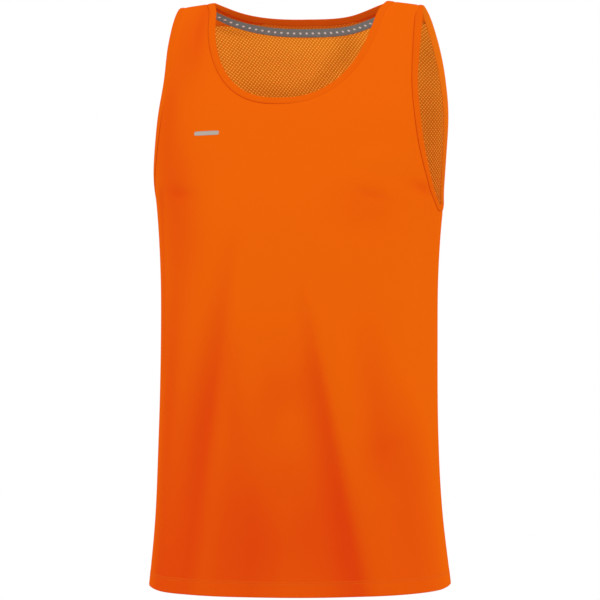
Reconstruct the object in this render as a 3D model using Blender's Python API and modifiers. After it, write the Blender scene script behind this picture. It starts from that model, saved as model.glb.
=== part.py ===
"""A running singlet, filled out as it is when it is worn, with no wearer inside.

The cloth is one tube that closes over the shoulders. Every point of it has two cloth
coordinates. `along` is the length of cloth from the shoulder ridge down the centre line:
positive down the front, negative down the back. `share` is the way from the centre line (0)
to the side line (1 on the wearer's left, -1 on the right), as a share of the cloth between them.
Edges and seams are curves in these coordinates, as on a paper pattern, and every piece is a
patch of the tube with a wall.

The wearer faces -Y, the wearer's left is +X and up is +Z. The origin lies midway between the
two straps, where the wearer's shoulders hold them. Sizes are in millimetres.
"""

from collections import namedtuple

import bmesh
import bpy
import numpy as np

MM = 0.001

# ---------------------------------------------------------------- the form of the worn tube
# Each row is a level section: how high it lies, half its width, how far its front, side line and
# back lie along Y, and how square it is (2 is an ellipse).
Level = namedtuple("Level", "height half_width front side back squareness")
LEVELS = {
    "ridge": Level(0, 221, 5, 5, 5, 2.2),
    "collar": Level(-14, 221, -14, 4, 27, 2.2),
    "yoke": Level(-48, 214, -38, 3, 56, 2.2),
    "upper_chest": Level(-92, 203, -60, 2, 85, 2.2),
    "chest": Level(-140, 191, -82, 2, 106, 2.3),
    "full_chest": Level(-195, 183, -97, 0, 111, 2.3),
    "armpit": Level(-256, 174.5, -109, -1, 107, 2.3),
    "ribs": Level(-330, 169.5, -115, -1, 102, 2.3),
    "waist": Level(-415, 169, -116, -1, 101, 2.3),
    "belly": Level(-510, 170.5, -116, -1, 104, 2.3),
    "hip": Level(-612, 175, -118, -1, 111, 2.3),
    "hem": Level(-705, 184.5, -121, -1, 118, 2.3),
}
SHOULDER_SLOPE = 0.125  # fall of the ridge for each millimetre outwards
RIDGE_ROUND = 40  # the slope eases off over this width at the centre line
RIDGE_LEVEL = 110  # the ridge has its own height this far from the centre line
LEFT_SHOULDER_FALL = 0.016  # more fall for each millimetre on the wearer's left
NECK_DIP = 2.8  # how far the straps roll down at the neck, on the ridge
NECK_DIP_WIDTH = 14
NECK_DIP_LEVEL = 1.5  # level at which the dip is gone
HEM_TILT = 0.012  # the hem hangs lower on the wearer's right
HEM_SAG = 5  # and lower at the centre lines than at the side seams

# ---------------------------------------------------------------- edges and seams
NECK_HALF_WIDTH = 102.5
FRONT_NECK_DROP = 149.5
BACK_NECK_DROP = 44
FRONT_NECK_SQUARENESS = 2.35
BACK_NECK_SQUARENESS = 1.95
STRAP_TIP = 154  # finished armhole edge on the ridge, from the centre line
ARMPIT_HEIGHT = -243  # finished armhole edge at its lowest
FRONT_ARM_SQUARENESS = 2.2
BACK_ARM_SQUARENESS = 3.8
SEAM_AT_NECK = -47  # `along` of the shoulder seam where it meets the neck
SEAM_AT_ARM = -36  # and the armhole
NECK_NARROWING = 0.18  # how much narrower the neck binding is at the lowest point of the front
SIDE_WRAP = 30  # how far the front reaches behind the side line, to the side seam

# ---------------------------------------------------------------- cloth
WALL = 1.2
BINDING_WALL = 1.8
BINDING_WIDTH = 10
TAPE_WALL = 1.0
TAPE_WIDTH = 14
TAPE_SEAT = 0.45  # between the tape and the panels that carry it
HEM_WALL = 2.4
HEM_HEIGHT = 18
SEAM_GAP = 0.3
BINDING_OFFSETS = (0, BINDING_WIDTH - SEAM_GAP)  # finished edge, and just inside the seam

# ---------------------------------------------------------------- the largest folds
# Lateral places are cloth lengths from the centre line, + on the wearer's left. A fold starts at
# `top`, is full at `foot`, and its depth is outwards where positive.
Fold = namedtuple("Fold", "across_top across_foot top foot width_top width_foot depth")
FRONT_FOLDS = (
    Fold(-62, -108, -300, -690, 22, 34, -4.5),
    Fold(50, 116, -350, -720, 20, 30, -6.0),
    Fold(-8, -26, -540, -720, 16, 20, -2.5),
    Fold(-30, -66, -380, -700, 24, 26, 3.0),
    Fold(92, 168, -380, -700, 24, 30, 3.5),
    Fold(-150, -156, -270, -560, 14, 20, -2.5),
)
BACK_FOLDS = (
    Fold(-84, -112, -300, -700, 24, 34, -5.0),
    Fold(-20, -34, -420, -720, 20, 26, -3.5),
    Fold(62, 96, -330, -710, 22, 32, -5.5),
    Fold(20, 34, -360, -700, 24, 28, 3.0),
    Fold(140, 150, -300, -640, 16, 22, -3.0),
)
FOLD_SIDE_FADE = 6  # power with which folds die out towards the side seams

# ---------------------------------------------------------------- how finely it is divided
WRAP_RAYS = 6  # rays between the armhole and the neck, from the shoulder seam to the ridge
FRONT_NECK_RAYS = 17  # from the ridge to the lowest point of the front neck
BACK_NECK_RAYS = 10  # from the shoulder seam to the lowest point of the back neck
CENTRE_RAYS = 7  # between the armhole and the centre line
BODY_RAYS = 13  # between the armhole and the chest line
SIDE_RAYS = 3  # of the front, behind the side line
FAN_ROWS = 8
BODY_ROWS = 15
CHEST_LINE = 45  # cloth length from the armhole seam down to the level rows of the body
SECTION_STEPS = 49
CENTRE_STEPS = 600
TURN_STEPS = 721
STEPS_A_RAY = 40  # steps of a curve that is parted into even lengths
DIFFERENCE = 0.5  # cloth between the points that give a normal
WELD = 0.001  # points of neighbouring patches this near are one

CLOTH_ORANGE = (0.82, 0.11, 0.004)
MESH_ORANGE = (0.58, 0.14, 0.02)
BINDING_ORANGE = (0.78, 0.10, 0.006)
TAPE_GREY = (0.17, 0.16, 0.15)


# ---------------------------------------------------------------- the surface of the cloth


def level_value(name, level):
    """Smooth value of a column of LEVELS at a place between its rows. Over the ridge, the row
    before the first is the first row of the other side, so that front and back run into each
    other."""
    rows = list(LEVELS.values())
    values = np.array([getattr(row, name) for row in rows], float)
    over_ridge = {"front": rows[1].back, "back": rows[1].front}.get(name, values[1])
    values = np.concatenate([[over_ridge], values, [2 * values[-1] - values[-2]]])
    level = np.clip(level, 0, len(rows) - 1)
    first = np.minimum(level.astype(int), len(rows) - 2)
    t = level - first
    before, start, end, after = (values[first + k] for k in range(4))
    leave, arrive = (end - before) / 2, (after - start) / 2
    ease = t * t * (3 - 2 * t)
    return (
        start * (1 - ease) + end * ease + leave * t * (1 - t) ** 2 - arrive * t**2 * (1 - t)
    )


def centre_lengths(side):
    """Levels, and the cloth length from the ridge to each, down the centre of a side."""
    level = np.linspace(0, len(LEVELS) - 1, CENTRE_STEPS)
    step = np.hypot(np.diff(level_value("height", level)), np.diff(level_value(side, level)))
    return level, np.concatenate([[0], np.cumsum(step)])


def level_at(along):
    """The level of each cloth length."""
    front_level, front_length = centre_lengths("front")
    back_level, back_length = centre_lengths("back")
    on_front = np.interp(along, front_length, front_level)
    return np.where(along >= 0, on_front, np.interp(-along, back_length, back_level))


def along_at(height, side):
    """Cloth length down the centre of a side to a height, always positive."""
    level, length = centre_lengths(side)
    return np.interp(-height, -level_value("height", level), length)


def depth_from_side(level, along):
    """How far the centre line lies in front of (-) or behind (+) the side line."""
    centre = np.where(along < 0, level_value("back", level), level_value("front", level))
    return centre - level_value("side", level)


def quarter_arc(level, along):
    """Angles of a quarter section from the centre line, and the cloth length to each of them."""
    angle = np.linspace(0, np.pi / 2, SECTION_STEPS)
    power = 2 / level_value("squareness", level)[:, None]
    x = level_value("half_width", level)[:, None] * np.sin(angle) ** power
    y = depth_from_side(level, along)[:, None] * np.cos(angle) ** power
    step = np.hypot(np.diff(x), np.diff(y))
    return angle, np.hstack([np.zeros((len(level), 1)), np.cumsum(step, axis=1)])


def quarter_length(along):
    """Cloth length from the centre line to the side line."""
    flat = np.ravel(np.asarray(along, float))
    return quarter_arc(level_at(flat), flat)[1][:, -1].reshape(np.shape(along))


def section_angle(share, level, along):
    """The angle in the section that lies at a share of its cloth."""
    angle, arc = quarter_arc(level, along)
    wanted = np.abs(share) * arc[:, -1]
    cell = np.clip((arc < wanted[:, None]).sum(axis=1) - 1, 0, len(angle) - 2)
    row = np.arange(len(wanted))
    start, end = arc[row, cell], arc[row, cell + 1]
    part = np.clip((wanted - start) / (end - start), 0, 1)
    return angle[cell] + (angle[1] - angle[0]) * part


def eased(value):
    """Rises from 0 at 0 to 1 at 1, level at both ends."""
    value = np.clip(value, 0, 1)
    return value * value * (3 - 2 * value)


def shoulder_fall(x, level):
    """How much lower the cloth lies at x because the shoulders slope, gone at the armpit, and
    because the straps roll down at the neck."""
    outwards = np.hypot(x, RIDGE_ROUND) - np.hypot(RIDGE_LEVEL, RIDGE_ROUND)
    slope = SHOULDER_SLOPE * outwards + LEFT_SHOULDER_FALL * np.maximum(x, 0)
    dip = NECK_DIP * np.exp(-(((np.abs(x) - NECK_HALF_WIDTH) / NECK_DIP_WIDTH) ** 2))
    armpit = list(LEVELS).index("armpit")
    return slope * eased(1 - level / armpit) + dip * eased(1 - level / NECK_DIP_LEVEL)


def smooth_point(share, along):
    """Points of the cloth without its folds: a superellipse at each level."""
    level = level_at(along)
    angle = section_angle(share, level, along)
    power = 2 / level_value("squareness", level)
    x = np.sign(share) * level_value("half_width", level) * np.sin(angle) ** power
    y = level_value("side", level) + depth_from_side(level, along) * np.cos(angle) ** power
    height = level_value("height", level)
    drop = (HEM_SAG * (1 - share**2) - HEM_TILT * x) * height / LEVELS["hem"].height
    return np.stack([x, y, height - shoulder_fall(x, level) - drop], axis=-1)


def cloth_normal(share, along):
    """Outward normals, from the differences of neighbouring points."""
    aside = DIFFERENCE / quarter_length(along)
    right = np.minimum(share + aside, 1)
    left = np.maximum(share - aside, -1)
    across = smooth_point(right, along) - smooth_point(left, along)
    down = smooth_point(share, along + DIFFERENCE) - smooth_point(share, along - DIFFERENCE)
    normal = np.cross(down, across)
    return normal / np.linalg.norm(normal, axis=-1, keepdims=True)


def fold_height(folds, across, height):
    """Sum of the folds: each has a bell-shaped section that moves, widens and deepens downwards."""
    total = np.zeros_like(across)
    for fold in folds:
        part = np.clip((height - fold.top) / (fold.foot - fold.top), 0, 1)
        centre = fold.across_top + (fold.across_foot - fold.across_top) * part
        width = fold.width_top + (fold.width_foot - fold.width_top) * part
        total += fold.depth * eased(part) * np.exp(-(((across - centre) / width) ** 2))
    return total


def cloth_point(share, along, out=0.0):
    """Points of the folded cloth in metres, moved outwards by `out` millimetres."""
    shape = np.shape(share)
    share, along = np.ravel(share), np.ravel(along)
    smooth = smooth_point(share, along)
    across = share * quarter_length(along)
    front = fold_height(FRONT_FOLDS, across, smooth[:, 2])
    back = fold_height(BACK_FOLDS, across, smooth[:, 2])
    lift = np.where(along >= 0, front, back) * (1 - np.abs(share) ** FOLD_SIDE_FADE)
    points = smooth + cloth_normal(share, along) * (lift + out)[:, None]
    return points.reshape(*shape, 3) * MM


# ---------------------------------------------------------------- edges on the cloth


def rounded_edge(turn, width, front_drop, back_drop, front_squareness, back_squareness):
    """A closed edge round the ridge, as (distance from its axis, along). Turn is 0 on the ridge,
    90 at the lowest point of the front and -90 at that of the back."""
    turn = np.radians(turn)
    drop = np.where(turn >= 0, front_drop, back_drop)
    power = 2 / np.where(turn >= 0, front_squareness, back_squareness)
    aside = width * np.abs(np.cos(turn)) ** power
    return aside, drop * np.sign(turn) * np.abs(np.sin(turn)) ** power


def neck_curve(turn, offset):
    """Share and along of the neckline, `offset` outside its finished edge, and a little nearer
    to it in front."""
    offset = offset * (1 - NECK_NARROWING * eased(np.sin(np.radians(turn))))
    aside, along = rounded_edge(
        turn,
        NECK_HALF_WIDTH + offset,
        FRONT_NECK_DROP + offset,
        BACK_NECK_DROP + offset,
        FRONT_NECK_SQUARENESS,
        BACK_NECK_SQUARENESS,
    )
    return aside / quarter_length(along), along


def arm_edge(turn, offset):
    """The armhole as (distance from the side line, along), `offset` outside its finished edge."""
    return rounded_edge(
        turn,
        LEVELS["ridge"].half_width - STRAP_TIP + offset,
        along_at(ARMPIT_HEIGHT, "front") + offset,
        along_at(ARMPIT_HEIGHT, "back") + offset,
        FRONT_ARM_SQUARENESS,
        BACK_ARM_SQUARENESS,
    )


def arm_curve(turn, offset):
    """Share and along of the armhole, `offset` outside its finished edge."""
    aside, along = arm_edge(turn, offset)
    return 1 - aside / quarter_length(along), along


def side_seam_turn(aside, offset):
    """The turn at which the back of the armhole is this far from the side line."""
    turns = np.linspace(-90, 0, TURN_STEPS)
    return np.interp(aside, arm_edge(turns, offset)[0], turns)


def seam_turn(curve, offset, gap):
    """The turn at which a curve meets the shoulder seam, moved forwards by `gap`."""
    along = (SEAM_AT_NECK if curve is neck_curve else SEAM_AT_ARM) + gap
    turns = np.linspace(-90, 0, TURN_STEPS)
    return np.interp(along, curve(turns, offset)[1], turns)


def even_turns(curve, offset, start, end, count):
    """Turns from start to end that part the curve into `count` equal lengths."""
    turns = np.linspace(start, end, STEPS_A_RAY * count)
    points = smooth_point(*curve(turns, offset))
    length = np.concatenate(
        [[0], np.cumsum(np.linalg.norm(np.diff(points, axis=0), axis=1))]
    )
    return np.interp(np.linspace(0, length[-1], count + 1), length, turns)


def joined(*runs):
    """Runs of turns as one, where each starts at the last one's end."""
    return np.concatenate([runs[0], *(run[1:] for run in runs[1:])])


def panel_turns(curve, side, offset=BINDING_WIDTH, gap=0.0):
    """Turns of a panel's rays on the neckline or an armhole, from the shoulder seam."""
    seam = seam_turn(curve, offset, gap)
    inner_rays = 0 if curve is neck_curve else CENTRE_RAYS + BODY_RAYS
    if side == "back":
        at_side = side_seam_turn(SIDE_WRAP + SEAM_GAP / 2, offset)
        end = -90 if curve is neck_curve else at_side
        return even_turns(curve, offset, seam, end, BACK_NECK_RAYS + inner_rays)
    wrap = even_turns(curve, offset, seam, 0, WRAP_RAYS)
    front = even_turns(curve, offset, 0, 90, FRONT_NECK_RAYS + inner_rays)
    return joined(wrap, front)


# ---------------------------------------------------------------- patches of cloth


def sign_of(side):
    """1 for the front and -1 for the back, as `along` has it."""
    return 1 if side == "front" else -1


def chest_along(side):
    """Where a panel's level rows start."""
    return sign_of(side) * (along_at(ARMPIT_HEIGHT, side) + BINDING_WIDTH + CHEST_LINE)


def panel_share(share, along):
    """Shares of a panel's level rows as shares of the cloth: the back ends at the side seam."""
    end = 1 - (SIDE_WRAP + SEAM_GAP / 2) / quarter_length(along)
    return np.where(along < 0, share * end, share)


def mirrored(share, along):
    """A half patch, from the shoulder seam to the centre line, with its other half."""
    return np.vstack([-share, share[-2::-1]]), np.vstack([along, along[-2::-1]])


def curve_strip(curve, turns, offsets):
    """Share and along of a strip beside a curve, a column for each offset."""
    pairs = [curve(turns, offset) for offset in offsets]
    return np.stack([p[0] for p in pairs], axis=1), np.stack([p[1] for p in pairs], axis=1)


def between(first, last, parts):
    """Columns at parts of the way from one (share, along) row of points to another."""
    parts = np.asarray(parts, float)
    return [a[:, None] + (b - a)[:, None] * parts for a, b in zip(first, last)]


def collar_edges(side, gap):
    """The two long edges of the collar patch: the neck seam, and the tape's lower edge."""
    for offset in (BINDING_WIDTH, BINDING_WIDTH + TAPE_WIDTH):
        yield neck_curve(panel_turns(neck_curve, side, offset, gap), offset)


def collar_patch(side):
    """The part of a panel beside the neck seam, as wide as the neck tape."""
    return mirrored(*between(*collar_edges(side, sign_of(side) * SEAM_GAP / 2), (0, 1)))


def fan_patch(side):
    """The wearer's left half of a panel round the armhole: straight rays from the armhole seam to
    the collar patch, the centre line and the chest line."""
    gap = sign_of(side) * SEAM_GAP / 2
    _, (collar_share, collar_along) = collar_edges(side, gap)
    centre = np.linspace(collar_along[-1], chest_along(side), CENTRE_RAYS + 1)[1:]
    line_along = np.full(BODY_RAYS, centre[-1])
    line = panel_share(np.linspace(0, 1, BODY_RAYS + 1)[1:], line_along)
    inner_share = np.concatenate([collar_share, np.zeros(CENTRE_RAYS), line])
    inner_along = np.concatenate([collar_along, centre, line_along])
    armhole = arm_curve(panel_turns(arm_curve, side, gap=gap), BINDING_WIDTH)
    return between(armhole, (inner_share, inner_along), np.linspace(0, 1, FAN_ROWS))


def body_rows(side):
    """Where the level rows of a panel lie, from the chest line to the hem."""
    end = sign_of(side) * along_at(LEVELS["hem"].height, side)
    hem_top = end - sign_of(side) * HEM_HEIGHT
    plain = np.linspace(chest_along(side), hem_top - sign_of(side) * WALL, BODY_ROWS)
    return np.concatenate([plain, [hem_top, end]])


def body_patch(side):
    """The lower part of a panel: level rows from the chest line to the hem."""
    columns = np.linspace(-1, 1, 2 * BODY_RAYS + 1)
    share, along = np.meshgrid(columns, body_rows(side), indexing="ij")
    return panel_share(share, along), along


def side_patch():
    """The part of the front behind the wearer's left side line, as cloth of the back: its rows
    are level with the front's, and the first follows the armhole seam."""
    rows = body_rows("front")
    top = along_at(ARMPIT_HEIGHT, "front") + BINDING_WIDTH
    rows = np.concatenate([np.linspace(top, rows[0], FAN_ROWS), rows[1:]])
    level, length = centre_lengths("back")
    rows = -np.interp(level_at(rows), level, length)
    aside = np.linspace(0, SIDE_WRAP - SEAM_GAP / 2, SIDE_RAYS + 1)
    seam = arm_edge(side_seam_turn(aside, BINDING_WIDTH), BINDING_WIDTH)[1]
    rise = (seam - rows[0]) * (aside > 0)
    left = np.clip((rows - rows[FAN_ROWS - 1]) / (rows[0] - rows[FAN_ROWS - 1]), 0, 1)
    along = rows + rise[:, None] * left
    return 1 - aside[:, None] / quarter_length(along), along


def ring_turns(curve):
    """Turns all the way round the neckline or an armhole, at the ends of the panels' rays."""
    back = panel_turns(curve, "back")[::-1]
    if curve is arm_curve:
        back = joined(even_turns(curve, BINDING_WIDTH, -90, back[0], SIDE_RAYS), back)
    return joined(back, panel_turns(curve, "front"))


# ---------------------------------------------------------------- meshes


def add_patch(shell, points, closed=False):
    """Adds a grid of points to a bmesh as quads, and returns its vertices."""
    rows, columns = points.shape[:2]
    verts = [[shell.verts.new(point) for point in row] for row in points.tolist()]
    for i in range(rows if closed else rows - 1):
        here, there = verts[i], verts[(i + 1) % rows]
        for j in range(columns - 1):
            shell.faces.new((here[j], here[j + 1], there[j + 1], there[j]))
    return verts


def cloth_material(name, colour, roughness):
    """A plain cloth finish."""
    material = bpy.data.materials.new(name)
    material.use_nodes = True
    shader = material.node_tree.nodes["Principled BSDF"]
    shader.inputs["Base Color"].default_value = (*colour, 1)
    shader.inputs["Roughness"].default_value = roughness
    shader.inputs["Metallic"].default_value = 0.0
    return material


def cloth_object(name, shell, wall, material, collection):
    """Closes a bmesh sheet into a smooth object with a wall."""
    bmesh.ops.remove_doubles(shell, verts=shell.verts, dist=WELD * MM)
    mesh = bpy.data.meshes.new(name)
    shell.to_mesh(mesh)
    shell.free()
    mesh.materials.append(material)
    mesh.shade_smooth()
    obj = bpy.data.objects.new(name, mesh)
    collection.objects.link(obj)
    solidify = obj.modifiers.new("wall", "SOLIDIFY")
    solidify.thickness = wall * MM
    solidify.offset = 0
    return obj


def thicken_hem(obj):
    """Doubles the wall over the turned hem, the object's first vertex group."""
    solidify = obj.modifiers["wall"]
    solidify.thickness = HEM_WALL * MM
    solidify.vertex_group = obj.vertex_groups.new(name="hem").name
    solidify.thickness_vertex_group = WALL / HEM_WALL


def make_panel(side, material, collection):
    """The front or the back, from its shoulder seams to its turned hem, which is the first
    vertex group."""
    shell = bmesh.new()
    hem_weight = shell.verts.layers.deform.verify()
    fan_share, fan_along = fan_patch(side)
    facing = sign_of(side)
    add_patch(shell, cloth_point(*collar_patch(side))[::facing])
    add_patch(shell, cloth_point(fan_share, fan_along)[::facing])
    add_patch(shell, cloth_point(-fan_share, fan_along)[::-facing])
    columns = add_patch(shell, cloth_point(*body_patch(side))[::facing])
    if side == "front":
        share, along = side_patch()
        columns += add_patch(shell, cloth_point(share, along))
        columns += add_patch(shell, cloth_point(-share, along)[::-1])
    for column in columns:
        for vert in column[-2:]:
            vert[hem_weight][0] = 1.0
    thicken_hem(cloth_object(f"{side}_panel", shell, WALL, material, collection))


def make_neck_binding(material, collection):
    """The folded strip round the neckline, one ring."""
    share, along = curve_strip(neck_curve, ring_turns(neck_curve), BINDING_OFFSETS)
    share = np.vstack([share, -share[-2:0:-1]])
    along = np.vstack([along, along[-2:0:-1]])
    shell = bmesh.new()
    add_patch(shell, cloth_point(share, along), closed=True)
    return cloth_object("neck_binding", shell, BINDING_WALL, material, collection)


def make_armhole_binding(name, sign, material, collection):
    """The folded strip round an armhole, one ring. Sign is 1 on the wearer's left."""
    share, along = curve_strip(arm_curve, ring_turns(arm_curve)[:-1], BINDING_OFFSETS)
    shell = bmesh.new()
    add_patch(shell, cloth_point(sign * share, along), closed=True)
    return cloth_object(name, shell, BINDING_WALL, material, collection)


def make_neck_tape(material, collection):
    """The narrow tape inside the back neck, from ridge to ridge, laid on the inner face of the
    collar patches just below the neck seam."""
    wrap = [(row[0][WRAP_RAYS::-1], row[1][WRAP_RAYS::-1]) for row in collar_edges("front", 0)]
    back = list(collar_edges("back", 0))
    edges = [[np.concatenate([w, b[1:]]) for w, b in zip(*pair)] for pair in zip(wrap, back)]
    inset = SEAM_GAP / TAPE_WIDTH
    share, along = mirrored(*between(*edges, (inset, 1 - inset)))
    inwards = -(WALL / 2 + TAPE_SEAT + TAPE_WALL / 2)
    shell = bmesh.new()
    add_patch(shell, cloth_point(share, along, inwards))
    return cloth_object("neck_tape", shell, TAPE_WALL, material, collection)


def clear_scene():
    """Removes what the file holds at the start."""
    for obj in list(bpy.data.objects):
        bpy.data.objects.remove(obj)


def main():
    """Builds the six pieces in a collection of their own."""
    clear_scene()
    collection = bpy.data.collections.new("running_singlet")
    bpy.context.scene.collection.children.link(collection)
    knit = cloth_material("smooth_knit", CLOTH_ORANGE, 0.75)
    mesh_knit = cloth_material("mesh_knit", MESH_ORANGE, 0.85)
    binding = cloth_material("binding_knit", BINDING_ORANGE, 0.75)
    tape = cloth_material("neck_tape_weave", TAPE_GREY, 0.7)
    make_panel("front", knit, collection)
    make_panel("back", mesh_knit, collection)
    make_neck_binding(binding, collection)
    make_armhole_binding("armhole_binding_left", 1, binding, collection)
    make_armhole_binding("armhole_binding_right", -1, binding, collection)
    make_neck_tape(tape, collection)


main()
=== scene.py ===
"""Looks of a running singlet, filled out as it is when it is worn, with no wearer inside.

The cloth is one tube that closes over the shoulders. Every point of it has two cloth
coordinates: `along`, the length of cloth from the shoulder ridge down the centre line (positive
down the front, negative down the back), and `share`, the way from the centre line (0) to the
side line (1 on the wearer's left, -1 on the right). Panels, bindings, tape and stitches are all
placed in these coordinates. Sizes are in millimetres until a mesh is made.
"""

from __future__ import annotations

import logging
import math
from dataclasses import dataclass, field
from enum import Enum
from typing import Any, Mapping

import bpy
import numpy as np
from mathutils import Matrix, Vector


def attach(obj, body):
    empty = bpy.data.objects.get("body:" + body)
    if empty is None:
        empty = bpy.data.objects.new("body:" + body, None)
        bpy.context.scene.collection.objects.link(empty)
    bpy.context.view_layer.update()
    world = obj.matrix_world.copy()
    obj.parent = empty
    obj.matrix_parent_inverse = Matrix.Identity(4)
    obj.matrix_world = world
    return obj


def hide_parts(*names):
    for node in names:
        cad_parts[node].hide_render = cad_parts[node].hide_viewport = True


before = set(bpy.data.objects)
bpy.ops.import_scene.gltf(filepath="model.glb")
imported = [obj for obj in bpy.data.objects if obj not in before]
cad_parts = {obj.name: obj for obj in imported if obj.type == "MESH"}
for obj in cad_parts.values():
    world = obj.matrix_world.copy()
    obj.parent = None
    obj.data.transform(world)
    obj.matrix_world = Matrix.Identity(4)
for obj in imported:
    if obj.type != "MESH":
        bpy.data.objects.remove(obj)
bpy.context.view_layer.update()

MM = 0.001
BODY = "root"
log = logging.getLogger("running_singlet")


class Side(Enum):
    """The two panels, with the sign that `along` has on each."""

    FRONT = 1
    BACK = -1


class Flank(Enum):
    """The wearer's two sides, with the sign that x has on each."""

    LEFT = 1
    RIGHT = -1


# ---------------------------------------------------------------- small tools


def smoothstep(value: np.ndarray) -> np.ndarray:
    """Rises from 0 at 0 to 1 at 1, level at both ends: v * v * (3 - 2 v)."""
    value = np.clip(value, 0, 1)
    return value * value * (3 - 2 * value)


def bell(value: np.ndarray) -> np.ndarray:
    """A bell curve, 1 at 0: exp(-v * v)."""
    return np.exp(-value * value)


def unit(vectors: np.ndarray) -> np.ndarray:
    """The vectors, each with length 1."""
    return vectors / np.linalg.norm(vectors, axis=-1, keepdims=True)


def run_lengths(points: np.ndarray) -> np.ndarray:
    """Length along a row of points up to each of them.

    Args:
        points: Points in order, one to a row.

    Returns:
        Running sum of the distances between neighbours, 0 at the first point.
    """
    steps = np.linalg.norm(np.diff(points, axis=0), axis=1)
    return np.concatenate([[0.0], np.cumsum(steps)])


# ---------------------------------------------------------------- the form of the worn tube


@dataclass(frozen=True)
class Level:
    """A level section of the tube: its height, half its width, how far its front, side line and
    back lie along Y, and how square it is (2 is an ellipse)."""

    height: float
    half_width: float
    front: float
    side: float
    back: float
    squareness: float


LEVELS = (
    Level(0.8, 221, 5, 5, 5, 2.2),
    Level(-14, 221.2, -14, 4, 27, 2.2),
    Level(-48, 214.8, -38, 3, 56, 2.2),
    Level(-92, 204.3, -60, 2, 85, 2.2),
    Level(-140, 192.6, -82, 2, 106, 2.3),
    Level(-195, 183.5, -97, 0, 111, 2.3),
    Level(-256, 174.5, -109, -1, 107, 2.3),
    Level(-330, 169.5, -115, -1, 102, 2.3),
    Level(-415, 169, -116, -1, 101, 2.3),
    Level(-510, 170.5, -116, -1, 104, 2.3),
    Level(-612, 175, -118, -1, 111, 2.3),
    Level(-705, 184.5, -121, -1, 118, 2.3),
)
ARMPIT_LEVEL = 6


@dataclass(frozen=True)
class Fold:
    """A long fold. Its section is a bell that moves and widens from `top` down to the hem. It
    rises smoothly from `top` to `full`, and dies out above `foot`. Lateral places are cloth
    lengths from the centre line, + on the wearer's left. `depth` is outwards where positive.
    `tone` is painted shade: how much deeper its orange is made, standing in for the shade of a
    hollow, which is lit mostly by its own cloth; where negative it is a painted highlight. `lean`
    widens the half on the wearer's right and narrows the other by that part."""

    across_top: float
    across_foot: float
    top: float
    full: float
    foot: float
    width_top: float
    width_foot: float
    depth: float
    tone: float
    lean: float = 0.0

    FADE = 70.0
    HEM = -710.0

    def strength(self, across: np.ndarray, height: np.ndarray) -> np.ndarray:
        """Bell across the fold times its rise below the top and its fall above the foot.

        Args:
            across: Cloth length from the centre line at each point.
            height: Height of each point.

        Returns:
            Strength from 0 to 1 at each point.
        """
        part = np.clip((height - self.top) / (self.HEM - self.top), 0, 1)
        centre = self.across_top + (self.across_foot - self.across_top) * part
        width = self.width_top + (self.width_foot - self.width_top) * part
        width = width * np.where(across < centre, 1 + self.lean, 1 - self.lean)
        rise = smoothstep((height - self.top) / (self.full - self.top))
        fall = smoothstep((height - self.foot) / self.FADE)
        return rise * fall * bell((across - centre) / width)


@dataclass(frozen=True)
class Dent:
    """A short dent or swelling: an oval bell, `reach` long and `width` wide from its middle,
    turned by `turn` degrees. Its `tone` is painted shade, as a fold's, and where negative a
    painted highlight."""

    across: float
    height: float
    reach: float
    width: float
    turn: float
    depth: float
    tone: float

    def strength(self, across: np.ndarray, height: np.ndarray) -> np.ndarray:
        """Bell of the distance from the middle, stretched along the turned long axis.

        Args:
            across: Cloth length from the centre line at each point.
            height: Height of each point.

        Returns:
            Strength from 0 to 1 at each point.
        """
        c, s = math.cos(math.radians(self.turn)), math.sin(math.radians(self.turn))
        x, y = across - self.across, height - self.height
        return bell((c * x + s * y) / self.reach) * bell((c * y - s * x) / self.width)


Crease = Fold | Dent

# Each crease lifts the cloth by its depth and paints shade into its colour by its tone. Those with
# a depth of 0 are painted shade alone, and a negative tone is a painted highlight.
FRONT_CREASES: tuple[Crease, ...] = (
    Fold(-36, -122, -231, -519, -900, 8, 38, -5.0, 0.66, 0.3),
    Fold(33, 110, -307, -519, -900, 6, 25, -6.0, 0.58, 0.4),
    Fold(-54, 22, -307, -611, -900, 89, 119, -2.5, 0.38),
    Fold(-171, -179, -217, -238, -480, 8, 11, -1.8, 0.43),
    Fold(143, 214, -417, -578, -900, 8, 90, -2.0, 0.58),
    Fold(-123, -176, -171, -532, -900, 28, 33, -2.0, 0.68),
    Fold(-20, -73, -440, -591, -900, 17, 38, -1.2, 0.24),
    Fold(21, 31, -407, -443, -560, 17, 18, 1.2, -0.18),
    Fold(-48, -44, -374, -437, -560, 15, 13, -0.8, 0.17),
    Fold(115, 147, -328, -499, -600, 19, 23, -1.4, 0.32),
    Fold(-16, -25, -557, -591, -900, 12, 11, -0.5, 0.07),
    Fold(17, 23, -570, -613, -900, 16, 23, 0.8, -0.13),
    Fold(-84, -158, -290, -420, -900, 16, 24, 2.0, 0.0),
    Fold(-4, -58, -360, -520, -900, 22, 24, 1.8, 0.0),
    Fold(62, 152, -335, -480, -900, 14, 24, 3.2, 0.0),
    Dent(-148, -212, 107, 38, -76, -1.2, 0.52),
    Dent(-129, -232, 25, 8, -6, -1.8, 0.20),
    Dent(-149, -121, 41, 14, 90, -0.5, 0.23),
    Dent(-128, -52, 50, 22, 90, 0.0, 0.30),
    Dent(-117, -22, 42, 8, 90, 0.0, 0.28),
    Dent(188, -228, 19, 7, -18, -2.4, 0.46),
    Dent(120, -236, 21, 6, -16, -1.6, 0.16),
    Dent(114, -253, 37, 30, -26, -0.8, 0.16),
    Dent(127, -194, 32, 14, 9, 1.8, -0.14),
    Dent(181, -339, 61, 15, 88, 0.6, -0.08),
    Dent(23, -463, 28, 42, -7, -0.6, 0.38),
    Dent(150, -529, 24, 12, 19, -0.8, 0.09),
    Dent(5, -656, 97, 74, 52, -2.0, 0.46),
)
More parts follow.
